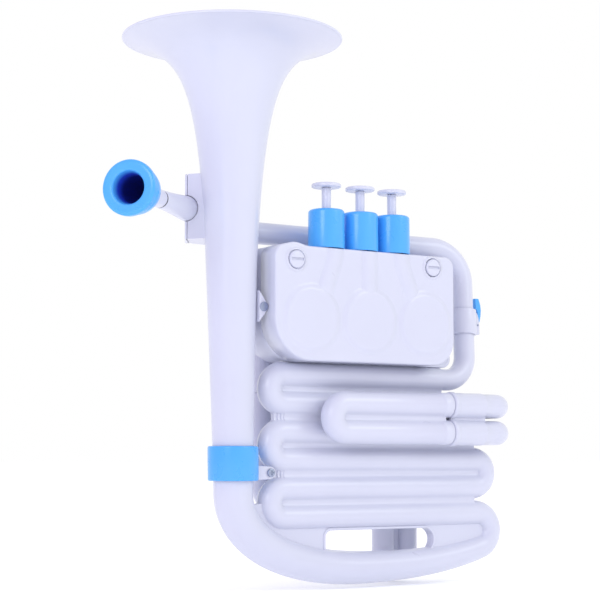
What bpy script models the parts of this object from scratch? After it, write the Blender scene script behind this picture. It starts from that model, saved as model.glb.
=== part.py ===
"""A compact upright three-valve training horn in moulded plastic.

The tubing lies in the XZ plane with the bell axis on +Z, the front towards -Y and the player's
mouthpiece at the upper left. The origin is on the bell axis, inside the blue joint band, where the
left hand holds the horn. All dimensions below are in millimetres; mesh functions scale them to metres.
"""

import math

import bmesh
import bpy
from mathutils import Matrix, Vector

MM = 0.001
GAP = 0.3  # left between solids that touch

# Bell
BELL_RIM_Z = 319.5
BELL_RIM_R = 81.0
BELL_BOTTOM_Z = 9.3
BELL_WALL = 1.8
FLARE_OFFSET = 8.0
FLARE_POWER = 0.485
CONE_R = 14.4
CONE_SLOPE = 0.0277

# Joint band round the bell joint
BAND_R = 18.1
BAND_LOW_Z = -3.7
BAND_HIGH_Z = 21.3

# Serpentine tubing: six runs, one above the other
RUN_R = 9.35
RUN_WALL = 2.0
RUN_PITCH = 20.9
RUN_LOWEST_Z = -30.4
RUN_Z = [RUN_LOWEST_Z + RUN_PITCH * i for i in range(6)]
LEFT_BEND_X = 43.4
RIGHT_BEND_X = 224.2
LOW_RIGHT_BEND_X = 226.2
LOW_RIGHT_BEND_R = 13.6
UPPER_RUN_END_X = 190.0
BOW_TOP_R = 14.4
BOW_MID_R = 12.0
BOW_MID_X = 114.0
BOW_MID_Z = -69.3
WEB_HALF = 3.5
WEB_INTO_RUN = 1.3  # each web reaches this far into the runs beside it
PLATE_LEFT_X = 37.5
WINDOW_X = (89.0, 172.6)
WINDOW_Z = -49.8
WINDOW_R = 8.8

# Front tuning slide
SLIDE_Y = -22.0
SLIDE_R = 8.9
SLIDE_INNER_R = 7.8
SLIDE_BEND_X = 84.8
SLIDE_SHOULDER_X = 182.5
SLIDE_END_X = 222.0
RECEIVER_R = 9.8
RECEIVER_BORE = 8.1
TURN_X = 223.2

# Upper tube: from the block behind the bell, over the valves and down the right-hand side
TUBE_START = Vector((8.3, 28.7, 182.4))
TUBE_CORNER = Vector((224.0, 12.0, 180.0))
TUBE_R = 8.4
TUBE_WALL = 1.8
TOP_BEND_R = 27.0
LOW_BEND_R = 21.0
TUBE_FOOT_X = 217.5

# Water key on the right-hand stretch of the upper tube
KEY_OUT = Vector((1.0, 0.0, 0.0))
KEY_ACROSS = Vector((0.0, 1.0, 0.0))
KEY_COLLAR_Z = (110.8, 131.0)
KEY_COLLAR_WALL = 2.0
KEY_SLOT_Z = 116.6  # the collar is slotted from here up, for the lever's hub
KEY_SLOT_HALF = 2.8
KEY_CHEEK_HALF = 5.4
KEY_LEVER_HALF = 2.4
KEY_PIVOT = (10.6, 119.0)  # distance out from the tube's centre, and height
KEY_PIN_R = 0.8
KEY_DRAIN_Z = 114.4
KEY_DRAIN_R = 1.4
KEY_CORK_R = 2.2
KEY_TAIL = ((12.9, 120.4), (14.9, 121.6), (16.4, 127.0), (16.9, 131.5), (16.5, 136.0), (14.8, 141.0))
KEY_PAD = ((11.6, 141.0), (11.6, 132.6), (12.9, 131.8), (13.5, 129.6), (13.0, 125.4))

# Valve block
BLOCK_X = (22.5, 187.0)
BLOCK_Z = (83.5, 168.0)
HOUSING_RIGHT_X = 196.0
BLOCK_FRONT_Y = -25.0
BLOCK_SPLIT_Y = -4.0
BLOCK_BACK_Y = 24.0
BLOCK_WALL = 2.5
ROTOR_X = (54.0, 106.3, 158.6)
ROTOR_Z = 115.0
DOME_R = 24.5
DOME_Y = -28.4
STEM_X = (75.0, 106.0, 136.0)
VALVE_Y = -13.0
STEM_R = 3.5
CAP_R = 13.85
CAP_TOP_Z = 197.8
SPRING_SEAT_Z = 192.8  # underside of the collar on each stem that the spring pushes up
COLLAR_R = 7.5
COLLAR_THICK = 1.6
BUTTON_R = 11.2
BUTTON_Z = 214.8
BUTTON_THICK = 2.9
SCREW_PLACES = ((40.0, 158.5), (165.5, 160.0))
SCREW_HEAD_R = 7.3
SCREW_RECESS = 0.9
SCREW_SHANK_R = 2.4
SCREW_SHANK = 29.0
SCREW_HEAD_THICK = 3.4
SCREW_SLOT = (5.4, 0.9, 1.3)  # half length, half width, depth
CHANNEL_HALF = 12.8
CHANNEL_Z = (166.0, 135.0)
CHANNEL_PROUD = 1.5

# Rack and pinion inside the block: one full press turns a rotor by a right angle
MODULE = 1.0
PINION_TEETH = 16
PITCH_R = MODULE * PINION_TEETH / 2
RACK_SIDE = (1, 1, -1)
GEAR_Y = (-15.5, -10.5)
BACKLASH = 0.35
RACK_ARM_Z = (151.0, 156.0)  # the arm that joins a rack to its stem

# Valve slides at the back
BACK_SLIDE_Y = 36.5
BACK_SLIDE_LEGS = ((54.0, 77.0), (108.0, 131.0), (162.5, 185.0))
BACK_SLIDE_LOW_Z = (-9.0, 40.0, -63.5)
BACK_SOCKET_Z = 104.0
BACK_RECEIVER_LOW_Z = 62.0

# Mouthpiece, receiver and the block behind the bell
JUNCTION_RIGHT_X = 7.0
JUNCTION_FRONT_Y = 24.2
JUNCTION_DEPTH = 26.0
JUNCTION_Z = (172.0, 219.9)
JUNCTION_BELL_R = 17.0  # the block starts inside this radius and is then cut back to clear the bell
FACE_OUT = 11.0  # the block's face is square to the mouthpiece, this far from the bell's axis
FACE_EDGE = 32.4  # and reaches this far to the side of it
FLANGE_THICK = 2.0
SEAM_LEAN = 2.3  # the end plate is this much thicker at its back edge
SIDE_RUN = Vector((0.495, 0.868, 0.0)).normalized()  # the block's outer side runs back along this
SOCKET = Vector((-20.2, 24.4, 194.5))
MOUTH_AXIS = Vector((-0.791, -0.6115, 0.0)).normalized()
RECEIVER_LENGTH = 57.0
RECEIVER_GAP = 0.9  # between the receiver and the mouthpiece
MOUTHPIECE_REACH = 110.8
RECEIVER_BASE_R = 9.2
RIM_R = 19.4

# Lugs between the bell tube and the block, and between the joint band and the tubing
UPPER_LUG = ((16.2, 133.2), (21.4, 126.0), (22.1, 122.3), (21.4, 118.6), (16.2, 111.6))
UPPER_LUG_Y = (-14.0, -8.2)
UPPER_PIN = (18.9, 122.3)
UPPER_PIN_R = 2.6
LOWER_LUG_R = 5.0
LOWER_LUG_Y = (-13.4, -9.8)
LOWER_SCREW = (23.4, 4.5)
LOWER_SCREW_R = 3.1

COLOURS = {
    "white_plastic": ((0.76, 0.79, 0.92), 0.32, 0.0),
    "blue_plastic": ((0.09, 0.42, 0.95), 0.28, 0.0),
    "grey_metal": ((0.42, 0.46, 0.50), 0.30, 0.9),
    "spring_steel": ((0.62, 0.62, 0.64), 0.25, 1.0),
    "inner_white": ((0.70, 0.72, 0.80), 0.45, 0.0),
    "cork": ((0.62, 0.45, 0.28), 0.85, 0.0),
}


# ---------------------------------------------------------------- general helpers


def clear_scene():
    for obj in list(bpy.data.objects):
        bpy.data.objects.remove(obj, do_unlink=True)


def material(name):
    found = bpy.data.materials.get(name)
    if found:
        return found
    colour, roughness, metallic = COLOURS[name]
    made = bpy.data.materials.new(name)
    made.use_nodes = True
    shader = made.node_tree.nodes["Principled BSDF"]
    shader.inputs["Base Color"].default_value = (*colour, 1.0)
    shader.inputs["Roughness"].default_value = roughness
    shader.inputs["Metallic"].default_value = metallic
    return made


def add_object(name, verts, faces, finish, origin=(0.0, 0.0, 0.0)):
    """An object from points in millimetres, with its origin where its joint axis needs it."""
    start = Vector(origin)
    mesh = bpy.data.meshes.new(name)
    mesh.from_pydata([(Vector(v) - start) * MM for v in verts], [], faces)
    shell = bmesh.new()
    shell.from_mesh(mesh)
    bmesh.ops.remove_doubles(shell, verts=shell.verts, dist=0.001 * MM)
    bmesh.ops.recalc_face_normals(shell, faces=shell.faces)
    shell.to_mesh(mesh)
    shell.free()
    mesh.shade_smooth()
    mesh.set_sharp_from_angle(angle=math.radians(35))
    mesh.materials.append(material(finish))
    obj = bpy.data.objects.new(name, mesh)
    obj.location = start * MM
    bpy.context.scene.collection.objects.link(obj)
    return obj


def cutter(obj):
    obj.hide_render = True
    obj.display_type = "WIRE"
    return obj


def boolean(obj, other, operation):
    modifier = obj.modifiers.new(other.name, "BOOLEAN")
    modifier.operation = operation
    modifier.object = cutter(other)


def cut(obj, other):
    boolean(obj, other, "DIFFERENCE")


def join(obj, other):
    boolean(obj, other, "UNION")


def loft(rings, closed_path=False):
    """Points and faces of a skin over rings of equal count, with flat ends unless the path closes."""
    count = len(rings[0])
    verts = [p for ring in rings for p in ring]
    faces = []
    steps = len(rings) if closed_path else len(rings) - 1
    for i in range(steps):
        here = i * count
        there = (i + 1) % len(rings) * count
        for j in range(count):
            k = (j + 1) % count
            faces.append((here + j, here + k, there + k, there + j))
    if not closed_path:
        faces.append(tuple(range(count))[::-1])
        faces.append(tuple(range(len(verts) - count, len(verts))))
    return verts, faces


def frames_along(points):
    """(point, side, up) at each point: the side vector is carried along without twisting."""
    found = []
    side = None
    for i, p in enumerate(points):
        ahead = points[min(i + 1, len(points) - 1)] - points[max(i - 1, 0)]
        ahead.normalize()
        if side is None:
            side = ahead.orthogonal().normalized()
        side = (side - ahead * side.dot(ahead)).normalized()
        found.append((p, side, ahead.cross(side)))
    return found


def circle(frame, radius, count):
    p, side, up = frame
    turn = math.tau / count
    return [p + (side * math.cos(turn * j) + up * math.sin(turn * j)) * radius for j in range(count)]


def rod(name, points, radii, count, finish):
    rings = [circle(f, r, count) for f, r in zip(frames_along(points), radii)]
    return add_object(name, *loft(rings), finish)


def pipe(name, points, radii, bores, count, finish):
    """A tube along points, open at both ends."""
    frames = frames_along(points)
    outer = [circle(f, r, count) for f, r in zip(frames, radii)]
    inner = [circle(f, r, count) for f, r in zip(frames, bores)]
    return add_object(name, *loft(outer + inner[::-1], closed_path=True), finish)


def lathe(name, profile, count, finish, start=(0, 0, 0), axis=(0, 0, 1), origin=(0, 0, 0)):
    """A closed (radius, height) profile turned about an axis; radius 0 makes a solid piece."""
    turn = Matrix.Translation(Vector(start)) @ Vector(axis).to_track_quat("Z", "Y").to_matrix().to_4x4()
    rings = []
    for j in range(count):
        angle = math.tau * j / count
        rings.append([turn @ Vector((r * math.cos(angle), r * math.sin(angle), h)) for r, h in profile])
    return add_object(name, *loft(rings, closed_path=True), finish, origin)


def turned(name, outline, count, finish, start=(0, 0, 0), axis=(0, 0, 1), origin=(0, 0, 0)):
    """A solid of revolution from an outline that begins and ends on the axis."""
    turn = Matrix.Translation(Vector(start)) @ Vector(axis).to_track_quat("Z", "Y").to_matrix().to_4x4()
    middle = outline[1:-1]
    verts = [turn @ Vector((0, 0, outline[0][1])), turn @ Vector((0, 0, outline[-1][1]))]
    for r, h in middle:
        for j in range(count):
            angle = math.tau * j / count
            verts.append(turn @ Vector((r * math.cos(angle), r * math.sin(angle), h)))
    faces = []
    for i in range(len(middle) - 1):
        for j in range(count):
            k = (j + 1) % count
            here = 2 + i * count
            faces.append((here + j, here + k, here + count + k, here + count + j))
    last = 2 + (len(middle) - 1) * count
    for j in range(count):
        k = (j + 1) % count
        faces.append((0, 2 + k, 2 + j))
        faces.append((1, last + j, last + k))
    return add_object(name, verts, faces, finish, origin)


def prism(name, outline, y_low, y_high, finish, origin=(0, 0, 0)):
    """An (x, z) outline extruded along Y."""
    rings = [[Vector((x, y, z)) for x, z in outline] for y in (y_low, y_high)]
    return add_object(name, *loft(rings), finish, origin)


def box(name, low, high, finish, origin=(0, 0, 0)):
    (x0, y0, z0), (x1, y1, z1) = low, high
    return prism(name, [(x0, z0), (x1, z0), (x1, z1), (x0, z1)], y0, y1, finish, origin)


def arc(cx, cz, radius, start, end, steps):
    """(x, z) points on an arc, angles in degrees from +X towards +Z."""
    found = []
    for i in range(steps + 1):
        angle = math.radians(start + (end - start) * i / steps)
        found.append((cx + radius * math.cos(angle), cz + radius * math.sin(angle)))
    return found


def bezier(p0, p1, p2, p3, steps):
    """Points on a cubic curve, leaving out its first."""
    found = []
    for i in range(1, steps + 1):
        t = i / steps
        s = 1 - t
        found.append(p0 * s**3 + p1 * 3 * s * s * t + p2 * 3 * s * t * t + p3 * t**3)
    return found


def rounded(corners, radius, steps):
    """A 3-D polyline with each inner corner replaced by an arc."""
    found = [corners[0]]
    radii = radius if isinstance(radius, (list, tuple)) else [radius] * (len(corners) - 2)
    for before, corner, after, r in zip(corners, corners[1:], corners[2:], radii):
        a = (before - corner).normalized()
        b = (after - corner).normalized()
        half = a.angle(b) / 2
        centre = corner + (a + b).normalized() * (r / math.sin(half))
        first = corner + a * (r / math.tan(half)) - centre
        last = corner + b * (r / math.tan(half)) - centre
        sweep = first.angle(last)
        for i in range(steps + 1):
            t = i / steps
            spoke = first * math.sin((1 - t) * sweep) + last * math.sin(t * sweep)
            found.append(centre + spoke / math.sin(sweep))
    found.append(corners[-1])
    return found


# ---------------------------------------------------------------- bell


def bell_radius(z):
    """A slender cone that opens into a horn flare near the rim."""
    flare = BELL_RIM_R * (FLARE_OFFSET / (BELL_RIM_Z - z + FLARE_OFFSET)) ** FLARE_POWER
    cone = CONE_R + CONE_SLOPE * (z - BELL_BOTTOM_Z)
    return 0.5 * (flare + cone + math.sqrt((flare - cone) ** 2 + 1.0))


def make_bell():
    heights = [BELL_BOTTOM_Z, 90.0]
    heights += [BELL_RIM_Z - 150.0 * (1 - i / 9) ** 1.9 for i in range(10)]
    outer = [(bell_radius(z), z) for z in heights]
    inner = []
    for z in heights:
        slope = (bell_radius(z) - bell_radius(z - 0.2)) / 0.2
        lean = math.hypot(1.0, slope)
        inner.append((bell_radius(z) - BELL_WALL / lean, z + BELL_WALL * slope / lean))
    inner[0] = (inner[0][0], BELL_BOTTOM_Z)
    lathe("bell", outer + inner[::-1], 28, "white_plastic")


def make_joint_band():
    bore = bell_radius(BAND_HIGH_Z) + GAP
    edge = 1.0
    low, high = BAND_LOW_Z, BAND_HIGH_Z
    profile = [
        (bore, low),
        (BAND_R - edge, low),
        (BAND_R, low + edge),
        (BAND_R, high - edge),
        (BAND_R - edge, high),
        (bore, high),
    ]
    lathe("bell_joint_band", profile, 24, "blue_plastic")


# ---------------------------------------------------------------- serpentine body


def bow_line():
    """Centre points and radii from the bell joint round the bow and through the runs to run three's end."""

    def flat(x, z):
        return Vector((x, 0.0, z))

    low_z = RUN_LOWEST_Z - LOW_RIGHT_BEND_R
    exit_angle = -74.0
    first_turn = arc(LOW_RIGHT_BEND_X, low_z, LOW_RIGHT_BEND_R, exit_angle, 90.0, 7)
    mid = flat(BOW_MID_X, BOW_MID_Z)
    end = flat(*first_turn[0])
    lead = Vector((math.sin(math.radians(-exit_angle)), 0.0, math.cos(math.radians(exit_angle))))
    points = [flat(0.0, BELL_BOTTOM_Z - GAP), flat(0.0, -12.0)]
    points += bezier(points[1], flat(0.0, -48.0), flat(47.0, BOW_MID_Z + 0.3), mid, 9)
    points += bezier(mid, flat(152.0, BOW_MID_Z - 0.5), end - lead * 36.0, end, 5)
    bow_steps = len(points)
    points += [flat(x, z) for x, z in first_turn[1:]]
    half = RUN_PITCH / 2
    bends = ((0, LEFT_BEND_X, 270, 90), (1, RIGHT_BEND_X, -90, 90), (2, LEFT_BEND_X, 270, 90))
    for run, x, start, end_angle in bends:
        points += [flat(*p) for p in arc(x, RUN_Z[run] + half, half, start, end_angle, 7)]
    points.append(flat(TURN_X - GAP, RUN_Z[3]))
    radii = []
    for i, p in enumerate(points):
        if i >= bow_steps:
            radii.append(RUN_R)
        elif p.x <= BOW_MID_X:
            radii.append(BOW_TOP_R + (BOW_MID_R - BOW_TOP_R) * (p.x / BOW_MID_X) ** 0.6)
        else:
            share = (p.x - BOW_MID_X) / (end.x - BOW_MID_X)
            radii.append(BOW_MID_R + (RUN_R - BOW_MID_R) * share)
    return points, radii, bow_steps


def upper_line():
    """Centre points from run two's right-hand end round its bend to the end of run one."""
    half = RUN_PITCH / 2
    turn = arc(LEFT_BEND_X, RUN_Z[4] + half, half, 270.0, 90.0, 7)
    points = [Vector((TURN_X - GAP, 0.0, RUN_Z[4]))]
    points += [Vector((x, 0.0, z)) for x, z in turn]
    points.append(Vector((UPPER_RUN_END_X, 0.0, RUN_Z[5])))
    return points


def half_pipe(name, points, radii, side, finish):
    """One moulded half of a tube in the XZ plane; side is -1 for the front half, +1 for the back."""
    rings = []
    outer_steps, inner_steps = 6, 4
    for i, p in enumerate(points):
        ahead = points[min(i + 1, len(points) - 1)] - points[max(i - 1, 0)]
        across = Vector((ahead.z, 0.0, -ahead.x)).normalized()
        flat = Vector((0.0, side * GAP / 2, 0.0))
        ring = []
        for radius, steps, turn in ((radii[i], outer_steps, 1), (radii[i] - RUN_WALL, inner_steps, -1)):
            for j in range(steps + 1):
                angle = math.pi * (j / steps if turn > 0 else 1 - j / steps)
                depth = side * (radius - GAP / 2) * math.sin(angle)
                ring.append(p + flat + across * radius * math.cos(angle) + Vector((0.0, depth, 0.0)))
        rings.append(ring)
    return add_object(name, *loft(rings), finish)


def lower_web(points, radii, bow_steps):
    """Outline of the plate between the lowest run and the bow."""
    top = RUN_Z[0] - RUN_R + WEB_INTO_RUN
    left, right = PLATE_LEFT_X, LOW_RIGHT_BEND_X
    along = [(p, r) for p, r in zip(points[:bow_steps], radii) if left - 2.0 < p.x < right]
    outline = [(right, top), (left + 8.0, top), (left, top - 3.0)]
    for p, r in along:
        lean = math.atan2(abs(p.z - BOW_MID_Z), BOW_MID_X / 2)
        outline.append((p.x, p.z + (r - WEB_INTO_RUN) / math.cos(lean)))
    return outline


def make_body_half(name, side):
    points, radii, bow_steps = bow_line()
    shell = half_pipe(name, points, radii, side, "white_plastic")
    upper = upper_line()
    join(shell, half_pipe(name + "_upper_cutter", upper, [RUN_R] * len(upper), side, "white_plastic"))
    near, far = sorted((side * GAP / 2, side * WEB_HALF))
    edge = RUN_R - WEB_INTO_RUN
    for i in range(5):
        end = UPPER_RUN_END_X if i == 4 else TURN_X - 1.0
        low = (LEFT_BEND_X - 0.5, near, RUN_Z[i] + edge)
        high = (end, far, RUN_Z[i + 1] - edge)
        join(shell, box(f"{name}_web_{i}", low, high, "white_plastic"))
    plate = prism(name + "_plate", lower_web(points, radii, bow_steps), near, far, "white_plastic")
    slot = arc(WINDOW_X[1], WINDOW_Z, WINDOW_R, -90.0, 90.0, 8)
    slot += arc(WINDOW_X[0], WINDOW_Z, WINDOW_R, 90.0, 270.0, 8)
    cut(plate, prism(name + "_slot", slot, near - 1.0, far + 1.0, "white_plastic"))
    join(shell, plate)


# ---------------------------------------------------------------- upper tube and its water key


def make_upper_tube():
    corner_low = Vector((TUBE_FOOT_X, 0.0, RUN_Z[5]))
    end = Vector((UPPER_RUN_END_X + GAP, 0.0, RUN_Z[5]))
    line = rounded([TUBE_START, TUBE_CORNER, corner_low, end], [TOP_BEND_R, LOW_BEND_R], 6)
    pipe("upper_tube", line, [TUBE_R] * len(line), [TUBE_R - TUBE_WALL] * len(line), 12, "white_plastic")


def key_point(out, across, z):
    """A point beside the right-hand tube: distance out from its centre, across, and world height."""
    share = (TUBE_CORNER.z - z) / (TUBE_CORNER.z - RUN_Z[5])
    centre = TUBE_CORNER.lerp(Vector((TUBE_FOOT_X, 0.0, RUN_Z[5])), share)
    return Vector((centre.x, centre.y, z)) + KEY_OUT * out + KEY_ACROSS * across


def key_slab(name, outline, low, high, finish, origin=(0, 0, 0)):
    """An (out, z) outline extruded across the tube, leaning as the tube leans."""
    rings = [[key_point(out, across, z) for out, z in outline] for across in (low, high)]
    return add_object(name, *loft(rings), finish, origin)


def key_rod(name, low, high, radius, centre, axis, finish, origin=(0, 0, 0)):
    """A round piece from low to high along an axis through a point of the key."""
    return turned(name, [(0, low), (radius, low), (radius, high), (0, high)], 16, finish, centre, axis, origin)


def make_water_key():
    """A collar round the upper tube, a lever on a cross pin, and a cork that closes the drain."""
    low, high = KEY_COLLAR_Z
    middle = key_point(0.0, 0.0, (low + high) / 2)
    along = (TUBE_CORNER - Vector((TUBE_FOOT_X, 0.0, RUN_Z[5]))).normalized()
    bore = TUBE_R + GAP
    skin = bore + KEY_COLLAR_WALL
    half = (high - low) / 2
    profile = [(bore, -half), (skin, -half), (skin, half), (bore, half)]
    collar = lathe("water_key_collar", profile, 20, "white_plastic", middle, along)
    out, pivot_z = KEY_PIVOT
    edge = out + 1.8
    cheek = [(bore + 0.4, low + 0.4), (edge, low + 0.4), (edge, pivot_z + 2.0), (edge - 0.6, pivot_z + 6.0)]
    cheek += [(edge - 1.8, high - 2.8), (bore + 0.4, high - 0.8)]
    for side in (-1, 1):
        near, far = sorted((side * (KEY_SLOT_HALF - 0.1), side * KEY_CHEEK_HALF))
        join(collar, key_slab("cheek", cheek, near, far, "white_plastic"))
    slot = [(0.5, KEY_SLOT_Z), (edge + 2.0, KEY_SLOT_Z), (edge + 2.0, high + 2.0), (0.5, high + 2.0)]
    cut(collar, key_slab("key_slot", slot, -KEY_SLOT_HALF, KEY_SLOT_HALF, "white_plastic"))
    drain = key_point(0.0, 0.0, KEY_DRAIN_Z)
    cut(collar, key_rod("drain", 5.0, 15.0, KEY_DRAIN_R, drain, KEY_OUT, "white_plastic"))
    pivot = key_point(out, 0.0, pivot_z)
    cut(collar, key_rod("pin_hole", -9.0, 9.0, KEY_PIN_R + 0.2, pivot, KEY_ACROSS, "grey_metal"))
    reach = KEY_CHEEK_HALF + 0.5
    key_rod("water_key_pin", -reach, reach, KEY_PIN_R, pivot, KEY_ACROSS, "grey_metal")
    seat = skin + GAP
    foot = seat + 1.5 + 2 * GAP
    foot_z = KEY_DRAIN_Z - 2.0
    outer = [(foot, foot_z), (foot + 1.3, foot_z), (foot + 1.4, pivot_z - 2.4), (out + 2.0, pivot_z + 0.4)]
    hub = [(out + 0.5, pivot_z + 2.4), (out - 1.7, pivot_z + 0.8), (out - 1.7, pivot_z - 0.6)]
    hub.append((out - 0.7, pivot_z - 1.7))
    knee = [(out + 0.7, pivot_z - 1.8), (foot, pivot_z - 3.0)]
    outline = outer + list(KEY_TAIL) + list(KEY_PAD) + hub + knee
    lever = key_slab("water_key_lever", outline, -KEY_LEVER_HALF, KEY_LEVER_HALF, "blue_plastic", pivot)
    cut(lever, key_rod("lever_hole", -9.0, 9.0, KEY_PIN_R + 0.2, pivot, KEY_ACROSS, "grey_metal"))
    key_rod("water_key_cork", seat, foot - 2 * GAP, KEY_CORK_R, drain, KEY_OUT, "cork", pivot)


# ---------------------------------------------------------------- front tuning slide


def make_tuning_receivers():
    """Two tubes that turn forward from runs two and three and take the slide's legs."""
    for name, z in (("tuning_receiver_upper", RUN_Z[4]), ("tuning_receiver_lower", RUN_Z[3])):
        half = -SLIDE_Y / 2
        line = [Vector((TURN_X, 0.0, z))]
        for i in range(8):
            angle = math.pi / 2 - math.pi * i / 7
            line.append(Vector((TURN_X + 2.5 + half * math.cos(angle), -half + half * math.sin(angle), z)))
        line += [Vector((TURN_X - 1.5, SLIDE_Y, z)), Vector((SLIDE_SHOULDER_X + GAP, SLIDE_Y, z))]
        radii = [RUN_R] * (len(line) - 2) + [RECEIVER_R] * 2
        bores = [RUN_R - RUN_WALL] * (len(line) - 2) + [RECEIVER_BORE] * 2
        pipe(name, line, radii, bores, 12, "white_plastic")


def make_tuning_slide():
    half = RUN_PITCH / 2
    low, high = RUN_Z[3], RUN_Z[4]
    turn = arc(SLIDE_BEND_X, low + half, half, 270.0, 90.0, 7)
    ends = [(SLIDE_END_X, low), (SLIDE_SHOULDER_X - 0.3, low), (SLIDE_SHOULDER_X - 1.0, low)]
    flat = ends + turn + [(x, high) for x, _ in ends[::-1]]
    line = [Vector((x, SLIDE_Y, z)) for x, z in flat]
    leg = [SLIDE_INNER_R, SLIDE_INNER_R, SLIDE_R]
    radii = leg + [SLIDE_R] * len(turn) + leg[::-1]
    bores = [SLIDE_INNER_R - 1.4] * 3 + [SLIDE_R - RUN_WALL] * len(turn) + [SLIDE_INNER_R - 1.4] * 3
    slide = pipe("tuning_slide", line, radii, bores, 12, "white_plastic")
    edge = SLIDE_R - 1.2
    low_corner = (SLIDE_BEND_X, SLIDE_Y - 2.0, low + edge)
    high_corner = (SLIDE_SHOULDER_X - 5.0, SLIDE_Y + 2.0, high - edge)
    join(slide, box("slide_web", low_corner, high_corner, "white_plastic"))


# ---------------------------------------------------------------- valve block


def plate_outline(inset, right_edge, low_right):
    """The block's face: a large arc round the first dome at lower left, smaller corners elsewhere."""
    left, right = BLOCK_X[0] + inset, right_edge - inset
    low, high = BLOCK_Z[0] + inset, BLOCK_Z[1] - inset
    big = ROTOR_X[0] - BLOCK_X[0] - inset
    corner, small = low_right - inset, 8.0 - inset
    outline = arc(left + big, low + big, big, 180.0, 270.0, 8)
    outline += arc(right - corner, low + corner, corner, -90.0, 0.0, 4)
    outline += arc(right - small, high - small, small, 0.0, 90.0, 3)
    outline += arc(left + small, high - small, small, 90.0, 180.0, 3)
    return outline


def disc(name, x, z, radius, y_low, y_high, count=20, finish="white_plastic"):
    return prism(name, arc(x, z, radius, 0.0, 360.0 * (count - 1) / count, count - 1), y_low, y_high, finish)


def make_valve_cover():
    front, split = BLOCK_FRONT_Y, BLOCK_SPLIT_Y - GAP / 2
    cover = prism("valve_cover", plate_outline(0.0, BLOCK_X[1], 20.0), front, split, "white_plastic")
    hollow = plate_outline(BLOCK_WALL, BLOCK_X[1], 20.0)
    cut(cover, prism("cover_inside", hollow, front + BLOCK_WALL, split + 1.0, "white_plastic"))
    for i, x in enumerate(ROTOR_X):
        join(cover, disc(f"dome_{i}", x, ROTOR_Z, DOME_R, DOME_Y, front + 1.0))
    for i, (stem, rotor) in enumerate(zip(STEM_X, ROTOR_X)):
        lean = rotor - stem
        foot = stem + lean * 0.4
        channel = [(stem - CHANNEL_HALF, CHANNEL_Z[0]), (stem + CHANNEL_HALF, CHANNEL_Z[0])]
        channel += [(foot + CHANNEL_HALF, CHANNEL_Z[1]), (foot - CHANNEL_HALF, CHANNEL_Z[1])]
        join(cover, prism(f"channel_{i}", channel, front - CHANNEL_PROUD, front + 1.0, "white_plastic"))
        hole_r = STEM_R + 0.4
        hole = [(0, 160), (hole_r, 160), (hole_r, 175), (0, 175)]
        cut(cover, turned(f"stem_hole_{i}", hole, 16, "white_plastic", (stem, VALVE_Y, 0)))
    for i, (x, z) in enumerate(SCREW_PLACES):
        join(cover, disc(f"boss_{i}", x, z, SCREW_HEAD_R + 2.3, front - 1.2, front + 3.6, 16))
        cut(cover, disc(f"recess_{i}", x, z, SCREW_HEAD_R + 0.5, front - 3.0, front + SCREW_RECESS, 16))
        cut(cover, disc(f"bolt_hole_{i}", x, z, 3.4, front - 3.0, front + 6.0, 10))


def make_valve_housing():
    split, back = BLOCK_SPLIT_Y + GAP / 2, BLOCK_BACK_Y
    housing = prism("valve_housing", plate_outline(0.0, HOUSING_RIGHT_X, 9.0), split, back, "white_plastic")
    hollow = plate_outline(BLOCK_WALL, HOUSING_RIGHT_X, 9.0)
    cut(housing, prism("housing_inside", hollow, split - 1.0, back - BLOCK_WALL, "white_plastic"))
    for i, (x, z) in enumerate(SCREW_PLACES):
        boss = disc(f"post_{i}", x, z, 5.0, split, back - BLOCK_WALL + 0.5, 10)
        join(housing, boss)
        cut(housing, disc(f"thread_{i}", x, z, 2.7, split - 1.0, split + 16.0, 10))
    for i, legs in enumerate(BACK_SLIDE_LEGS):
        for j, x in enumerate(legs):
            cut(housing, disc(f"port_{i}_{j}", x, BACK_SOCKET_Z, 6.5, back - 6.0, back + 2.0, 10))


def make_cover_screws():
    half, width, depth = SCREW_SLOT
    for i, (x, z) in enumerate(SCREW_PLACES):
        seat = BLOCK_FRONT_Y + SCREW_RECESS - GAP
        top = SCREW_SHANK + SCREW_HEAD_THICK
        outline = [(0, 0.0), (SCREW_SHANK_R, 0.0), (SCREW_SHANK_R, SCREW_SHANK), (SCREW_HEAD_R, SCREW_SHANK)]
        outline += [(SCREW_HEAD_R, top - 0.8), (SCREW_HEAD_R - 1.1, top), (0, top)]
        name = f"cover_screw_{i + 1}"
        screw = turned(name, outline, 16, "white_plastic", (x, seat + SCREW_SHANK, z), (0, -1, 0))
        low = (x - half, seat - SCREW_HEAD_THICK - 1.0, z - width)
        high = (x + half, seat - SCREW_HEAD_THICK + depth, z + width)
        cut(screw, box(f"slot_{i}", low, high, "white_plastic"))


def pinion_outline(x, z):
    """Involute teeth, thinned by the backlash, on the module's pitch circle."""
    base = PITCH_R * math.cos(math.radians(20.0))
    tip, root = PITCH_R + MODULE, PITCH_R - 1.25 * MODULE
    spread = math.tan(math.radians(20.0)) - math.radians(20.0)
    half = math.pi / (2 * PINION_TEETH) - BACKLASH / (2 * PITCH_R) + spread
    outline = []
    for tooth in range(PINION_TEETH):
        middle = math.tau * tooth / PINION_TEETH
        flank = []
        for radius in (base, tip):
            press = math.acos(min(1.0, base / radius))
            flank.append((radius, half - (math.tan(press) - press)))
        flank = [(root, flank[0][1])] + flank
        for radius, offset in flank:
            outline.append((radius, middle - offset))
        for radius, offset in flank[::-1]:
            outline.append((radius, middle + offset))
    return [(x + r * math.cos(a), z + r * math.sin(a)) for r, a in outline]


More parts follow.
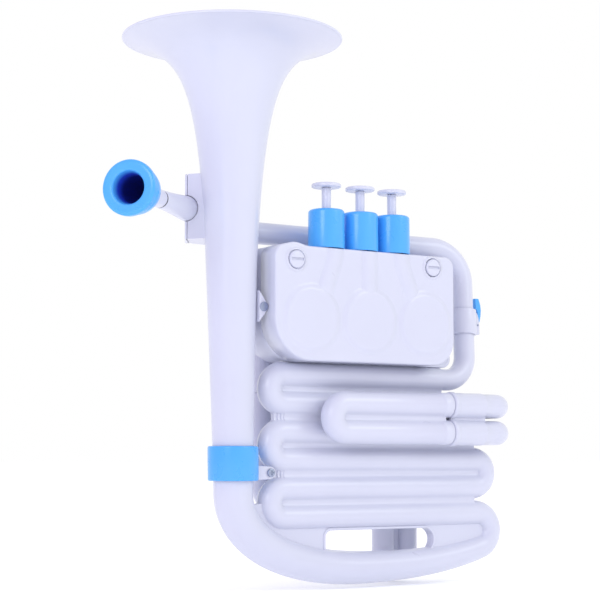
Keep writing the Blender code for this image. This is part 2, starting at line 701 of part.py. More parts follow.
def make_rotors():
    """Each rotor has a pinion in front and two scooped passages through its barrel."""
    for i, x in enumerate(ROTOR_X):
        gear = pinion_outline(x, ROTOR_Z)
        rotor = prism(f"valve_rotor_{i + 1}", gear, *GEAR_Y, "inner_white", (x, 0.0, ROTOR_Z))
        barrel = [(0, -0.5), (6.0, -0.5), (6.0, 9.5), (16.0, 9.5), (16.0, 27.5), (5.0, 27.5), (5.0, 30.5), (0, 30.5)]
        start = (x, GEAR_Y[1] - 0.5, ROTOR_Z)
        join(rotor, turned(f"barrel_{i}", barrel, 14, "inner_white", start, (0, 1, 0)))
        for j, side in enumerate((-1, 1)):
            scoop = [(0, -20), (5.5, -20), (5.5, 20), (0, 20)]
            cut(rotor, turned(f"scoop_{i}_{j}", scoop, 10, "inner_white", (x + side * 12.5, 7.0, ROTOR_Z)))
        ring = [(16.4, -2.6), (19.4, -2.6), (19.4, 20.6), (16.4, 20.6)]
        casing = lathe(f"rotor_casing_{i + 1}", ring, 16, "inner_white", (x, 0, ROTOR_Z), (0, 1, 0))
        for j, axis in enumerate(((1, 0, 0), (0, 0, 1))):
            port = [(0, -25), (5.0, -25), (5.0, 25), (0, 25)]
            cut(casing, turned(f"casing_port_{i}_{j}", port, 8, "inner_white", (x, 7.0, ROTOR_Z), axis))


def rack_outline(x, side):
    """A rack whose pitch line is a pitch radius from the rotor's axis, its teeth facing the pinion."""
    pitch = math.pi * MODULE
    line = x + side * PITCH_R
    add, drop = MODULE, 1.25 * MODULE
    slope = math.tan(math.radians(20.0))
    width = pitch / 4 - BACKLASH / 4
    teeth = []
    for tooth in range(-2, 8):
        middle = ROTOR_Z + pitch * (tooth + 0.5)
        teeth.append((line + side * drop, middle - width - drop * slope))
        teeth.append((line - side * add, middle - width + add * slope))
        teeth.append((line - side * add, middle + width - add * slope))
        teeth.append((line + side * drop, middle + width + drop * slope))
    return teeth


def make_valve_keys():
    """Button, stem, rack, cap and spring of each valve."""
    for i, (stem, rotor, side) in enumerate(zip(STEM_X, ROTOR_X, RACK_SIDE)):
        number = i + 1
        at = (stem, VALVE_Y, 0.0)
        back = rotor + side * (PITCH_R + 5.5)
        teeth = rack_outline(rotor, side)
        arm_low, arm_high = RACK_ARM_Z
        near = teeth[-1][0]
        low_back = (back, teeth[0][1])
        if side * (stem - back) > 0:
            outline = teeth + [(near, arm_high), (stem + side * 5.0, arm_high), (stem + side * 5.0, arm_low),
                               (back, arm_low), low_back]
        else:
            reach = stem - side * 6.0
            outline = teeth + [(near, arm_low), (reach, arm_low), (reach, arm_high), (back, arm_high), low_back]
        prism(f"valve_rack_{number}", outline, *GEAR_Y, "inner_white", at)
        seat, foot, head = SPRING_SEAT_Z, arm_high + GAP, BUTTON_Z - GAP
        shaft = [(0, foot), (STEM_R, foot), (STEM_R, seat), (COLLAR_R, seat), (COLLAR_R, seat + COLLAR_THICK)]
        shaft += [(STEM_R, seat + COLLAR_THICK), (STEM_R, head), (0, head)]
        turned(f"valve_stem_{number}", shaft, 12, "white_plastic", at, (0, 0, 1), at)
        top = BUTTON_Z + BUTTON_THICK
        button = [(0, BUTTON_Z), (BUTTON_R - 0.8, BUTTON_Z), (BUTTON_R, BUTTON_Z + 0.8), (BUTTON_R, top - 0.9),
                  (BUTTON_R - 1.0, top), (8.0, top), (0, top - 0.8)]
        turned(f"valve_button_{number}", button, 18, "white_plastic", at, (0, 0, 1), at)
        low = BLOCK_Z[1] + GAP
        hole = STEM_R + 0.4
        cap = [(CAP_R - 2.0, low), (CAP_R, low), (CAP_R, CAP_TOP_Z - 2.5), (CAP_R - 2.2, CAP_TOP_Z), (hole, CAP_TOP_Z),
               (hole, CAP_TOP_Z - 2.4), (CAP_R - 2.0, CAP_TOP_Z - 2.4)]
        lathe(f"valve_cap_{number}", cap, 20, "blue_plastic", at)
        make_coil(f"valve_spring_{number}", at, low + 0.8, SPRING_SEAT_Z - 0.8)


def make_coil(name, at, low, high):
    coils, per_turn, radius, wire = 4, 8, 6.0, 0.5
    steps = coils * per_turn
    line = []
    for i in range(steps + 1):
        angle = math.tau * i / per_turn
        height = low + wire + (high - low - 2 * wire) * i / steps
        line.append(Vector((at[0] + radius * math.cos(angle), at[1] + radius * math.sin(angle), height)))
    rod(name, line, [wire] * len(line), 4, "spring_steel")


# ---------------------------------------------------------------- valve slides at the back


def make_back_slides():
    """Each valve has a U-shaped slide behind the body, held by two receivers on the housing."""
    turn = 9.8
    for i, legs in enumerate(BACK_SLIDE_LEGS):
        number = i + 1
        for side, x in zip(("left", "right"), legs):
            start = Vector((x, BLOCK_BACK_Y + GAP, BACK_SOCKET_Z))
            corner = Vector((x, BACK_SLIDE_Y, BACK_SOCKET_Z))
            low = Vector((x, BACK_SLIDE_Y, BACK_RECEIVER_LOW_Z))
            line = rounded([start, corner, low], turn, 4)
            radii = [9.5] * len(line)
            pipe(f"valve_{number}_receiver_{side}", line, radii, [7.9] * len(line), 10, "white_plastic")
        half = (legs[1] - legs[0]) / 2
        bend = arc(legs[0] + half, BACK_SLIDE_LOW_Z[i], half, 180.0, 360.0, 6)
        shoulder = BACK_RECEIVER_LOW_Z - GAP
        down = [(legs[0], 90.0), (legs[0], shoulder + 0.2), (legs[0], shoulder - 0.5)]
        up = [(legs[1], z) for _, z in down[::-1]]
        line = [Vector((x, BACK_SLIDE_Y, z)) for x, z in down + bend + up]
        radii = [7.6, 7.6] + [8.8] * (len(bend) + 2) + [7.6, 7.6]
        bores = [6.2, 6.2] + [7.0] * (len(bend) + 2) + [6.2, 6.2]
        pipe(f"valve_{number}_slide", line, radii, bores, 10, "white_plastic")


# ---------------------------------------------------------------- mouthpiece side


def make_junction():
    """The block behind the bell that joins the mouthpiece receiver to the upper tube, and its end plate."""
    low, high = JUNCTION_Z
    aside = Vector((MOUTH_AXIS.y, -MOUTH_AXIS.x, 0.0))

    def face(edge):
        return MOUTH_AXIS * FACE_OUT + aside * edge

    def upright(name, outline):
        rings = [[Vector((p.x, p.y, z)) for p in outline] for z in (low, high)]
        return add_object(name, *loft(rings), "white_plastic")

    inner_edge = math.sqrt(JUNCTION_BELL_R**2 - FACE_OUT**2)
    first = face(inner_edge)
    first_angle = math.atan2(first.y, first.x)
    last_angle = math.radians(80.0)
    wall = []
    for i in range(6):
        angle = first_angle + (last_angle - first_angle) * i / 5
        wall.append(Vector((math.cos(angle), math.sin(angle), 0.0)) * JUNCTION_BELL_R)
    back = face(FACE_EDGE) + SIDE_RUN * JUNCTION_DEPTH
    right = [Vector((JUNCTION_RIGHT_X, JUNCTION_FRONT_Y, 0.0)), Vector((JUNCTION_RIGHT_X, back.y, 0.0))]
    seam = FACE_EDGE - FLANGE_THICK
    seam_back = back - aside * (FLANGE_THICK + SEAM_LEAN)
    shift = aside * GAP
    block = upright("junction_block", wall + right + [seam_back, face(seam)])
    plate = upright("junction_flange", [face(seam) + shift, seam_back + shift, back, face(FACE_EDGE)])
    heights = [low - 4.0 + 12.0 * i for i in range(6)]
    room = [(0, heights[0])] + [(bell_radius(z) + 2 * GAP, z) for z in heights] + [(0, heights[-1])]
    cut(block, turned("bell_room", room, 28, "white_plastic"))
    into = (TUBE_START - TUBE_CORNER).normalized()
    bore = [(0, -6.0), (TUBE_R - TUBE_WALL, -6.0), (TUBE_R - TUBE_WALL, 20.0), (0, 20.0)]
    cut(block, turned("block_bore", bore, 20, "white_plastic", TUBE_START, into))
    recess_r = RECEIVER_BASE_R + 0.5
    recess = [(0, -8.3), (recess_r, -8.3), (recess_r, 30.0), (0, 30.0)]
    for piece in (block, plate):
        cut(piece, turned(piece.name + "_recess", recess, 24, "white_plastic", SOCKET, MOUTH_AXIS))


def make_receiver():
    line = [SOCKET + MOUTH_AXIS * d for d in (-8.0, FACE_OUT, 24.0, 42.0, RECEIVER_LENGTH - 1.0, RECEIVER_LENGTH)]
    radii = [RECEIVER_BASE_R, RECEIVER_BASE_R, 8.2, 7.1, 6.6, 6.4]
    bores = [4.6, 4.6, 4.7, 4.9, 5.0, 5.1]
    pipe("mouthpiece_receiver", line, radii, bores, 16, "white_plastic")


def make_mouthpiece():
    rim = SOCKET + MOUTH_AXIS * MOUTHPIECE_REACH
    inward = -MOUTH_AXIS
    cup = [(17.6, 0.0), (RIM_R, 2.2), (RIM_R - 0.2, 4.6), (17.2, 8.0), (17.4, 13.0), (15.8, 19.5), (11.8, 27.0),
           (8.6, 33.0), (7.4, 36.0), (3.2, 36.0), (3.4, 30.0), (7.6, 22.0), (10.8, 12.0), (11.8, 5.0), (12.6, 1.2),
           (14.2, 0.0)]
    lathe("mouthpiece_cup", cup, 20, "blue_plastic", rim, inward)
    shoulder = MOUTHPIECE_REACH - RECEIVER_LENGTH - RECEIVER_GAP
    shank = [(7.0, 36.3), (7.0, 42.0), (6.6, shoulder - 1.0), (6.2, shoulder), (4.75, shoulder), (4.5, 80.0), (3.3, 80.0),
             (3.0, 36.3)]
    lathe("mouthpiece_shank", shank, 16, "white_plastic", rim, inward)


# ---------------------------------------------------------------- braces


def make_braces():
    """Two small lugs that tie the bell tube to the valve block and to the tubing."""
    front, back = UPPER_LUG_Y
    x, z = UPPER_PIN
    lug = prism("bell_lug_upper", UPPER_LUG, front, back, "white_plastic")
    hole_r = UPPER_PIN_R + GAP
    hole = [(0, front - 3.0), (hole_r, front - 3.0), (hole_r, back + 3.0), (0, back + 3.0)]
    cut(lug, turned("upper_hole", hole, 16, "grey_metal", (x, 0, z), (0, 1, 0)))
    pin = [(0, front - 1.2), (UPPER_PIN_R, front - 1.2), (UPPER_PIN_R, back + 1.0), (0, back + 1.0)]
    turned("bell_lug_pin", pin, 16, "grey_metal", (x, 0, z), (0, 1, 0))
    front, back = LOWER_LUG_Y
    x, z = LOWER_SCREW
    outline = arc(x, z, LOWER_LUG_R, -60.0, 60.0, 6) + [(17.0, z + 5.0), (16.4, z), (17.0, z - 5.0)]
    lug = prism("bell_lug_lower", outline, front, back, "white_plastic")
    shank_r = LOWER_SCREW_R - 1.0
    hole_r = shank_r + GAP
    hole = [(0, front - 3.0), (hole_r, front - 3.0), (hole_r, back + 3.0), (0, back + 3.0)]
    cut(lug, turned("lower_hole", hole, 16, "grey_metal", (x, 0, z), (0, 1, 0)))
    head = front - 0.4
    screw = [(0, head - 1.6), (LOWER_SCREW_R, head - 1.6), (LOWER_SCREW_R, head), (shank_r, head), (shank_r, back - 0.4)]
    turned("bell_lug_screw", screw + [(0, back - 0.4)], 16, "grey_metal", (x, 0, z), (0, 1, 0))


def main():
    clear_scene()
    make_bell()
    make_joint_band()
    make_body_half("body_front_shell", -1)
    make_body_half("body_rear_shell", 1)
    make_upper_tube()
    make_water_key()
    make_tuning_receivers()
    make_tuning_slide()
    make_valve_cover()
    make_valve_housing()
    make_cover_screws()
    make_rotors()
    make_valve_keys()
    make_back_slides()
    make_junction()
    make_receiver()
    make_mouthpiece()
    make_braces()


main()
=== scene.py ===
"""Looks of the upright training horn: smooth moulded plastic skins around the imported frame.

Every length below is in millimetres, in the frame's own axes, unless it says otherwise.
"""

import math

import bmesh
import bpy
from mathutils import Matrix, Vector


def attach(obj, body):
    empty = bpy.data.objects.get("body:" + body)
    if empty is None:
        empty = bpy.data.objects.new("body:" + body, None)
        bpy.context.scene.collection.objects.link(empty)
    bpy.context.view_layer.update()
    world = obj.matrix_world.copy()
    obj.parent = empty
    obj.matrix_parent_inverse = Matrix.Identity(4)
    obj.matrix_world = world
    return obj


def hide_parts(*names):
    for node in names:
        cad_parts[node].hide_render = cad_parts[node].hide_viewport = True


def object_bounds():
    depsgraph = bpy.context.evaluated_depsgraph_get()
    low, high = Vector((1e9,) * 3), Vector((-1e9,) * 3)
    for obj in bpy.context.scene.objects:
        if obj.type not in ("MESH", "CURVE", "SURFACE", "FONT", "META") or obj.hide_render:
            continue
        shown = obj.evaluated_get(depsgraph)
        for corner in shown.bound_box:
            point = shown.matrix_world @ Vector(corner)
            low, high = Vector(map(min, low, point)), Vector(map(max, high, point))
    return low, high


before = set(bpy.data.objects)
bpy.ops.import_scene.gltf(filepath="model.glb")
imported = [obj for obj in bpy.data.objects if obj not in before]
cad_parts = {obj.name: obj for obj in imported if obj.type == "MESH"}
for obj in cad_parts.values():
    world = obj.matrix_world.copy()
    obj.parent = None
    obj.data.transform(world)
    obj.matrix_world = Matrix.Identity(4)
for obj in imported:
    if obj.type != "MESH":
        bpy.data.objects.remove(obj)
cad_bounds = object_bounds()

MM = 0.001
GAP = 0.3
SMOOTH = 50.0  # degrees; a sharper edge than this is drawn sharp
NEARLY_STRAIGHT = math.radians(88.5)  # half the angle at a corner too flat to round
ON_AXIS = 1e-6
SHARPEST = 0.4  # limits how far an inset moves a sharp corner

# Bell
BELL_RIM_Z, BELL_RIM_R, BELL_LOW_Z = 319.5, 81.0, 9.3
FLARE_OFFSET, FLARE_POWER = 8.0, 0.485
CONE_R, CONE_SLOPE = 14.4, 0.0277
LEAN_X, LEAN_TOP_Z = 2.2, 150.0
BELL_WALL, RIM_BEAD_R, RIM_DROP = 1.8, 0.95, 0.12
CONE_STEPS, FLARE_FROM_Z, FLARE_STEPS = 8, 175.0, 56
BAND_R, BAND_CROWN, BAND_Z = 18.4, 0.12, (-3.7, 21.3)

# Body
RUN_R, RUN_PITCH = 9.35, 20.9
RUN_Z = [-30.4 + RUN_PITCH * i for i in range(6)]
LEFT_BEND_X, RIGHT_BEND_X = 43.4, 224.2
LOW_BEND = (226.2, -44.0, 13.6)
UPPER_RUN_END_X = 190.0
BOW_TOP_R, BOW_MID_R, BOW_MID, BOW_RISE = 14.4, 12.0, (114.0, -69.3), 74.0
SEAM_RISE, SEAM_SPREAD = 0.3, 0.2
WINDOW_X, WINDOW_Z, WINDOW_R = (89.0, 172.6), -49.8, 8.8
WEB_HALF = 3.5
WEB_FILL, WEB_FLARE = 4.4, 1.4  # a web's half thickness, and its edges' rise
WEB_REACH = 7.2  # how near the runs' centres a web goes
CREASE_FILLS, CREASE_STEP = (3.9, 3.0, 2.0), 2.6  # webs that thin out into the left bends
PLATE_INTO, PLATE_LEFT_X, PLATE_BEND_X = 1.3, 45.5, 60.0

# Tuning slide
SLIDE_Y, SLIDE_R, SLIDE_BEND_X = -22.0, 8.9, 84.8
SLIDE_INNER_R = 7.8
SHOULDER_X, SLIDE_END_X, RECEIVER_R, TURN_X = 182.5, 222.0, 9.8, 223.2
RECEIVER_LIP = ((5.2, 0.0), (4.6, 0.15), (3.9, 0.7), (1.6, 0.75), (0.8, 0.5), (0.3, 0.0))
SLIDE_FERRULE = ((0.4, 0.5), (0.9, 0.75), (8.0, 0.75), (8.8, 0.45), (9.4, 0.0))

# Upper tube and water key
TUBE_LINE = [Vector((8.3, 28.7, 182.4)), Vector((224.0, 12.0, 180.0))]
TUBE_LINE += [Vector((217.5, 0.0, 74.1)), Vector((190.3, 0.0, 74.1))]
TUBE_R = 8.4
TUBE_BENDS = (27.0, 21.0)
KEY_COLLAR_Z, KEY_COLLAR_WALL, KEY_PIVOT = (110.8, 131.0), 2.0, (10.6, 119.0)
KEY_SLOT_Z, KEY_SLOT_HALF, KEY_CHEEK_HALF = 116.6, 2.8, 5.4

# Valve block
BLOCK_X, BLOCK_Z, HOUSING_RIGHT_X = (22.5, 187.0), (83.5, 168.0), 199.5
LEDGE_X = BLOCK_X[1] - 3.0  # right of this the housing's front is closed
FRONT_Y, SPLIT_Y, BACK_Y, BLOCK_WALL = -25.0, -4.0, 24.0, 2.5
TOP_CORNER, COVER_EDGE, HOUSING_EDGE = 8.0, 1.6, 2.2
EDGE_STEPS, FACE_STEPS = 6, 56
SPINE_X, SPINE_Z = (62.0, 148.0), 126.5  # the line the cover's face closes in on
ROTOR_X, ROTOR_Z, DOME_R = (54.0, 106.3, 158.6), 115.0, 24.5
DOME_STEP, DOME_CROWN = 1.7, 0.35
CHANNEL_R = 14.15  # the round that each cap carries down the cover
SCREWS = ((40.0, 157.3), (165.5, 158.8))
HEAD_R, SHANK_R, SHANK_LENGTH = 6.5, 2.4, 29.0
BOSS_RISE, RECESS_DEPTH = 1.2, 0.9
BUMP_RISE, BUMP_REACH = 2.2, 13.0  # the cover's top edge rises over the left screw

# Keys
STEM_X, VALVE_Y, STEM_R, STEM_LOW_Z = (75.0, 106.0, 136.0), -13.0, 3.5, 156.3
SPRING_SEAT_Z, SPRING_SEAT_R = 192.8, 7.5
BUTTON_R, BUTTON_Z, BUTTON_THICK = 11.2, 214.8, 2.9
CAP_R, CAP_TOP_Z = 13.85, 197.8

# Valve slides behind the block
BACK_SLIDE_Y, BACK_TURN = 36.5, 9.8
BACK_LEGS = ((51.0, 77.0), (108.0, 131.0), (162.5, 185.0))
BACK_LOW_Z = (-9.0, 40.0, -63.5)
BACK_SOCKET_Z, BACK_RECEIVER_LOW_Z, BACK_SLIDE_TOP_Z = 104.0, 62.0, 90.0
BACK_RECEIVER_R, BACK_SLIDE_R, BACK_INNER_R = 9.2, 8.8, 7.6
BACK_RECEIVER_LIP = ((4.6, 0.0), (4.0, 0.15), (3.4, 0.55), (0.9, 0.6), (0.3, 0.4), (0.0, -0.1))
BRACE_RISE, BRACE_HALF = 30.0, 1.6

# Mouthpiece side
JUNCTION_RIGHT_X, JUNCTION_FRONT_Y, JUNCTION_DEPTH = 7.0, 24.2, 26.0
JUNCTION_Z, JUNCTION_BELL_R = (172.0, 219.9), 17.0
FACE_OUT, FACE_EDGE, FLANGE_THICK, SEAM_LEAN = 11.0, 32.4, 2.0, 2.3
SIDE_RUN = Vector((0.495, 0.868, 0.0)).normalized()
SOCKET = Vector((-20.2, 24.4, 194.5))
MOUTH_AXIS = Vector((-0.791, -0.6115, 0.0)).normalized()
RECEIVER_LENGTH, RECEIVER_GAP, RECEIVER_BASE_R = 57.0, 0.9, 9.2
REACH, RIM_R, CUP_LENGTH, SHANK_END = 110.8, 19.4, 36.0, 80.0
CUP_RIM = SOCKET + MOUTH_AXIS * REACH
# the cup's painted shade darkens over about this depth down the bowl
BOWL_SHADE_DEPTH = 15.0

# Lugs; outlines and centres are (x, z)
UPPER_LUG, UPPER_LUG_Y = ((15.2, 111.0), (23.8, 122.3), (15.2, 134.0)), (-14.6, -8.2)
UPPER_LUG_PIN, UPPER_PIN_R = (18.9, 122.3), 3.5
LOWER_SCREW, LOWER_LUG_R, LOWER_LUG_Y = (28.6, 2.0), 4.6, (-8.6, -5.0)

# Colours and textures
WHITE_TONES = (0.64, 0.66, 0.772), (0.625, 0.645, 0.757)
NOISE, VORONOI = "ShaderNodeTexNoise", "ShaderNodeTexVoronoi"
BLUE_TONES = (0.075, 0.41, 0.92), (0.06, 0.385, 0.89)
# painted shade: the cup's blue darkens to near black down the bowl, where shade falls
PAINTED_BOWL_SHADE_TONES = (0.04, (0.07, 0.4, 0.9)), (0.45, (0.02, 0.06, 0.6)), (0.95, (0.006, 0.012, 0.16))
WALL_TONES = (0.0, (1.0, 1.0, 1.0)), (0.75, (0.78, 0.70, 0.91))
PAPER_TONES = (0.0, (0.93, 0.935, 0.95)), (1.0, (0.95, 0.955, 0.965))
PAPER_GLOW = 0.22

# Studio, in metres
SHADE_FROM = (-0.95, -0.25, 0.1)  # the studio's walls are dimmer on this side
FLOOR_R, FLOOR_DROP, FLOOR_RINGS, FLOOR_SIDES = 50.0, 0.001, 3, 64
# name, place, aim, size, watts, colour
LIGHTS = (
    ("key", (1.1, -1.5, 1.1), (0.1, 0.0, 0.1), 0.9, 5.2, (0.93, 1.0, 1.0)),
    ("side", (-1.4, -0.9, 0.7), (0.0, 0.0, 0.15), 0.8, 6.0, (0.95, 1.0, 1.0)),
)
CAMERA_LENS, CAMERA_PLACE = 99.85, (-0.62307, -1.03332, 0.011787)
CAMERA_TILT, CAMERA_TURN = 0.0954356, -0.5840476  # radians


# ---- materials


def node_material(name):
    """A node material with its tree, its shader's inputs and its object coordinates."""
    made = bpy.data.materials.new(name)
    made.use_nodes = True
    tree = made.node_tree
    place = tree.nodes.new("ShaderNodeTexCoord").outputs["Object"]
    return made, tree, tree.nodes["Principled BSDF"].inputs, place


def textured(tree, place, kind, **settings):
    """The value of a texture node that is laid over coordinates."""
    node = tree.nodes.new(kind)
    for name, value in settings.items():
        node.inputs[name].default_value = value
    tree.links.new(place, node.inputs["Vector"])
    return node.outputs["Distance" if kind == VORONOI else "Fac"]


def ramped(tree, value, target, *stops, blend="LINEAR"):
    """Colours a socket by a value, through two or more (position, colour) stops."""
    node = tree.nodes.new("ShaderNodeValToRGB")
    ramp = node.color_ramp
    ramp.interpolation = blend
    for element, (position, colour) in zip(ramp.elements, (stops[0], stops[-1])):
        element.position = position
        element.color = (*colour, 1.0)
    for position, colour in stops[1:-1]:
        ramp.elements.new(position).color = (*colour, 1.0)
    tree.links.new(value, node.inputs["Fac"])
    tree.links.new(node.outputs["Color"], target)


def polished(tree, shader, value, low, high):
    """Lets a value move the roughness between two limits."""
    spread = tree.nodes.new("ShaderNodeMapRange")
    spread.inputs["To Min"].default_value = low
    spread.inputs["To Max"].default_value = high
    tree.links.new(value, spread.inputs["Value"])
    tree.links.new(spread.outputs["Result"], shader["Roughness"])


def dented(tree, shader, value, strength, distance):
    """Lets a value dent the surface; distance is in metres."""
    height = tree.nodes.new("ShaderNodeBump")
    height.inputs["Strength"].default_value = strength
    height.inputs["Distance"].default_value = distance
    tree.links.new(value, height.inputs["Height"])
    tree.links.new(height.outputs["Normal"], shader["Normal"])


def vector_math(tree, operation, place, value):
    """A node that combines a vector with a fixed value."""
    node = tree.nodes.new("ShaderNodeVectorMath")
    node.operation = operation
    node.inputs[1].default_value = value
    tree.links.new(place, node.inputs[0])
    return node


def plastic(name, base, deep, roughness, grain, coat, bump):
    """Moulded plastic: a faint cloudy tone, a fine orange peel and light handling marks."""
    made, tree, shader, place = node_material(name)
    cloud = textured(tree, place, NOISE, Scale=22.0, Detail=4.0)
    ramped(tree, cloud, shader["Base Color"], (0.32, deep), (0.68, base))
    rub = textured(tree, place, NOISE, Scale=90.0, Detail=6.0, Distortion=0.6)
    polished(tree, shader, rub, roughness - 0.06, roughness + 0.08)
    dented(tree, shader, textured(tree, place, NOISE, Scale=grain, Detail=2.0), bump, 0.0002)
    shader["Coat Weight"].default_value = coat
    shader["Coat Roughness"].default_value = 0.08
    shader["IOR"].default_value = 1.49
    return made


def metal(name, bright, dark, roughness, lines):
    """Turned or drawn metal: fine streaks, with a slightly uneven polish."""
    made, tree, shader, place = node_material(name)
    streak = textured(tree, place, NOISE, Scale=lines, Detail=5.0)
    ramped(tree, streak, shader["Base Color"], (0.0, dark), (1.0, bright))
    polished(tree, shader, streak, roughness - 0.08, roughness + 0.1)
    shader["Metallic"].default_value = 1.0
    return made


def cork_material():
    """Pressed cork: brown grains with darker pits."""
    made, tree, shader, place = node_material("cork_grain")
    grains = textured(tree, place, VORONOI, Scale=1400.0)
    pit, grain = (0.28, 0.16, 0.08), (0.62, 0.43, 0.25)
    ramped(tree, grains, shader["Base Color"], (0.0, pit), (1.0, grain))
    dented(tree, shader, grains, 0.4, 0.0003)
    shader["Roughness"].default_value = 0.85
    return made


def painted_bowl_shade_material():
    """The cup's inside: clear blue at the rim, with painted shade that darkens it down the bowl."""
    made = plastic("blue_painted_bowl_shade", *BLUE_TONES, 0.34, 900.0, 0.0, 0.05)
    tree = made.node_tree
    place = tree.nodes["Texture Coordinate"].outputs["Object"]
    offset = vector_math(tree, "SUBTRACT", place, CUP_RIM * MM).outputs["Vector"]
    depth = vector_math(tree, "DOT_PRODUCT", offset, -MOUTH_AXIS / (BOWL_SHADE_DEPTH * MM))
    colour = tree.nodes["Principled BSDF"].inputs["Base Color"]
    ramped(tree, depth.outputs["Value"], colour, *PAINTED_BOWL_SHADE_TONES, blend="EASE")
    return made


WHITE = plastic("white_gloss", *WHITE_TONES, 0.3, 900.0, 0.25, 0.05)
BLUE = plastic("blue_gloss", *BLUE_TONES, 0.28, 900.0, 0.3, 0.05)
INNER = plastic("inner_satin", (0.60, 0.61, 0.68), (0.55, 0.56, 0.63), 0.5, 700.0, 0.0, 0.15)
PIN = metal("pin_brushed", (0.42, 0.47, 0.60), (0.28, 0.32, 0.43), 0.34, 700.0)
SPRING = metal("spring_drawn", (0.62, 0.62, 0.65), (0.45, 0.45, 0.48), 0.28, 1500.0)
CORK = cork_material()
# the cup's blue, with painted shade down its bowl
BLUE_WITH_PAINTED_BOWL_SHADE = painted_bowl_shade_material()
# painted shade: near-black for the ring that stands in the shaded gap between the receiver and the shank
GAP_SHADE_BLACK = plastic("painted_gap_shade", (0.02, 0.02, 0.03), (0.015, 0.015, 0.022), 0.6, 1200.0, 0.0, 0.2)
SLOTS = {"pin_brushed": "pin_metal", "white_gloss": "white_plastic"}
SLOTS |= {"blue_gloss": "blue_plastic", "blue_painted_bowl_shade": "blue_plastic"}


# ---- mesh tools


def soften(points, radius, closed=False, steps=6, most=0.49):
    """A polyline, flat or in space, whose corners become arcs.

    radius is one number or one per point; most is the share of a side that an arc may use.
    """
    found = []
    count = len(points)
    for i, p in enumerate(points):
        p = Vector(p)
        r = radius[i] if isinstance(radius, (list, tuple)) else radius
        if r <= 0 or (not closed and i in (0, count - 1)):
            found.append(p)
            continue
        a = Vector(points[i - 1]) - p
        b = Vector(points[(i + 1) % count]) - p
        half = a.angle(b) / 2
        if half > NEARLY_STRAIGHT:
            found.append(p)
            continue
        reach = min(r / math.tan(half), most * a.length, most * b.length)
        size = reach * math.tan(half)
        centre = p + (a.normalized() + b.normalized()).normalized() * (size / math.sin(half))
        first = p + a.normalized() * reach - centre
        last = p + b.normalized() * reach - centre
        sweep = first.angle(last)
        for k in range(steps + 1):
            early, late = math.sin((1 - k / steps) * sweep), math.sin(k / steps * sweep)
            found.append(centre + (first * early + last * late) / math.sin(sweep))
    return found


def arc(cx, cz, radius, start, end, steps):
    found = []
    for i in range(steps + 1):
        angle = math.radians(start + (end - start) * i / steps)
        found.append((cx + radius * math.cos(angle), cz + radius * math.sin(angle)))
    return found


def bezier(p0, p1, p2, p3, steps):
    found = []
    for i in range(1, steps + 1):
        t = i / steps
        s = 1 - t
        found.append(p0 * s**3 + p1 * 3 * s * s * t + p2 * 3 * s * t * t + p3 * t**3)
    return found


def skin(rings, closed_path=False):
    """Points and faces over rings of equal count."""
    count = len(rings[0])
    verts = [p for ring in rings for p in ring]
    faces = []
    for i in range(len(rings) if closed_path else len(rings) - 1):
        here, there = i * count, (i + 1) % len(rings) * count
        for j in range(count):
            k = (j + 1) % count
            faces.append((here + j, here + k, there + k, there + j))
    if not closed_path:
        faces.append(tuple(range(count))[::-1])
        faces.append(tuple(range(len(verts) - count, len(verts))))
    return verts, faces


def in_scene(name, data):
    """A new object in the scene."""
    made = bpy.data.objects.new(name, data)
    bpy.context.scene.collection.objects.link(made)
    return made


def cleaned(mesh, weld, sliver, outward=False):
    """Joins points nearer than weld and removes edges shorter than sliver."""
    shell = bmesh.new()
    shell.from_mesh(mesh)
    bmesh.ops.remove_doubles(shell, verts=shell.verts, dist=weld * MM)
    bmesh.ops.dissolve_degenerate(shell, edges=shell.edges, dist=sliver * MM)
    if outward:
        bmesh.ops.recalc_face_normals(shell, faces=shell.faces)
    shell.to_mesh(mesh)
    shell.free()


def mesh_object(name, verts, faces):
    mesh = bpy.data.meshes.new(name)
    mesh.from_pydata([Vector(v) * MM for v in verts], [], faces)
    cleaned(mesh, 0.0005, 0.0002, outward=True)
    return in_scene(name, mesh)


def combined(obj, others, operation):
    """obj with the other closed meshes joined to it or cut from it, as one clean mesh."""
    for other in others:
        modifier = obj.modifiers.new(other.name, "BOOLEAN")
        modifier.operation = operation
        modifier.solver = "EXACT"
        modifier.object = other
    bpy.context.view_layer.update()
    graph = bpy.context.evaluated_depsgraph_get()
    made = bpy.data.meshes.new_from_object(obj.evaluated_get(graph))
    obj.modifiers.clear()
    obj.data = made
    for other in others:
        bpy.data.objects.remove(other, do_unlink=True)
    cleaned(made, 0.002, 0.001)
    return obj


def bevelled(obj, width, angle):
    """Rounds the edges that are sharper than an angle in degrees."""
    soft = obj.modifiers.new("soft_edges", "BEVEL")
    soft.width = width * MM
    soft.segments = 3
    soft.limit_method = "ANGLE"
    soft.angle_limit = math.radians(angle)


def finish(obj, body, finish_material, nodes, angle=32.0, bevel=0.0):
    """Shading, material and body of a piece, and the frame nodes it stands for."""
    obj.data.materials.clear()
    obj.data.materials.append(finish_material)
    obj.data.shade_smooth()
    obj.data.set_sharp_from_angle(angle=math.radians(angle))
    if bevel:
        bevelled(obj, bevel, angle)
    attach(obj, body)
    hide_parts(*nodes)
    return obj


def carried(points):
    """(point, side, up) along a path, with the side vector carried without twisting."""
    found = []
    side = None
    for i, p in enumerate(points):
        ahead = (points[min(i + 1, len(points) - 1)] - points[max(i - 1, 0)]).normalized()
        if side is None:
            side = ahead.orthogonal().normalized()
        side = (side - ahead * side.dot(ahead)).normalized()
        found.append((p, side, ahead.cross(side)))
    return found


def between(profile, left, right):
    """Points and faces of a (y, z) profile carried from one x to another."""
    return skin([[Vector((x, y, z)) for y, z in profile] for x in (left, right)])


def tube(name, points, radii, count=56):
    """A round tube along a path, with one radius for each point."""
    rings = []
    turn = math.tau / count
    for (p, side, up), r in zip(carried(points), radii):
        ring = [side * math.cos(turn * j) + up * math.sin(turn * j) for j in range(count)]
        rings.append([p + way * r for way in ring])
    return mesh_object(name, *skin(rings))


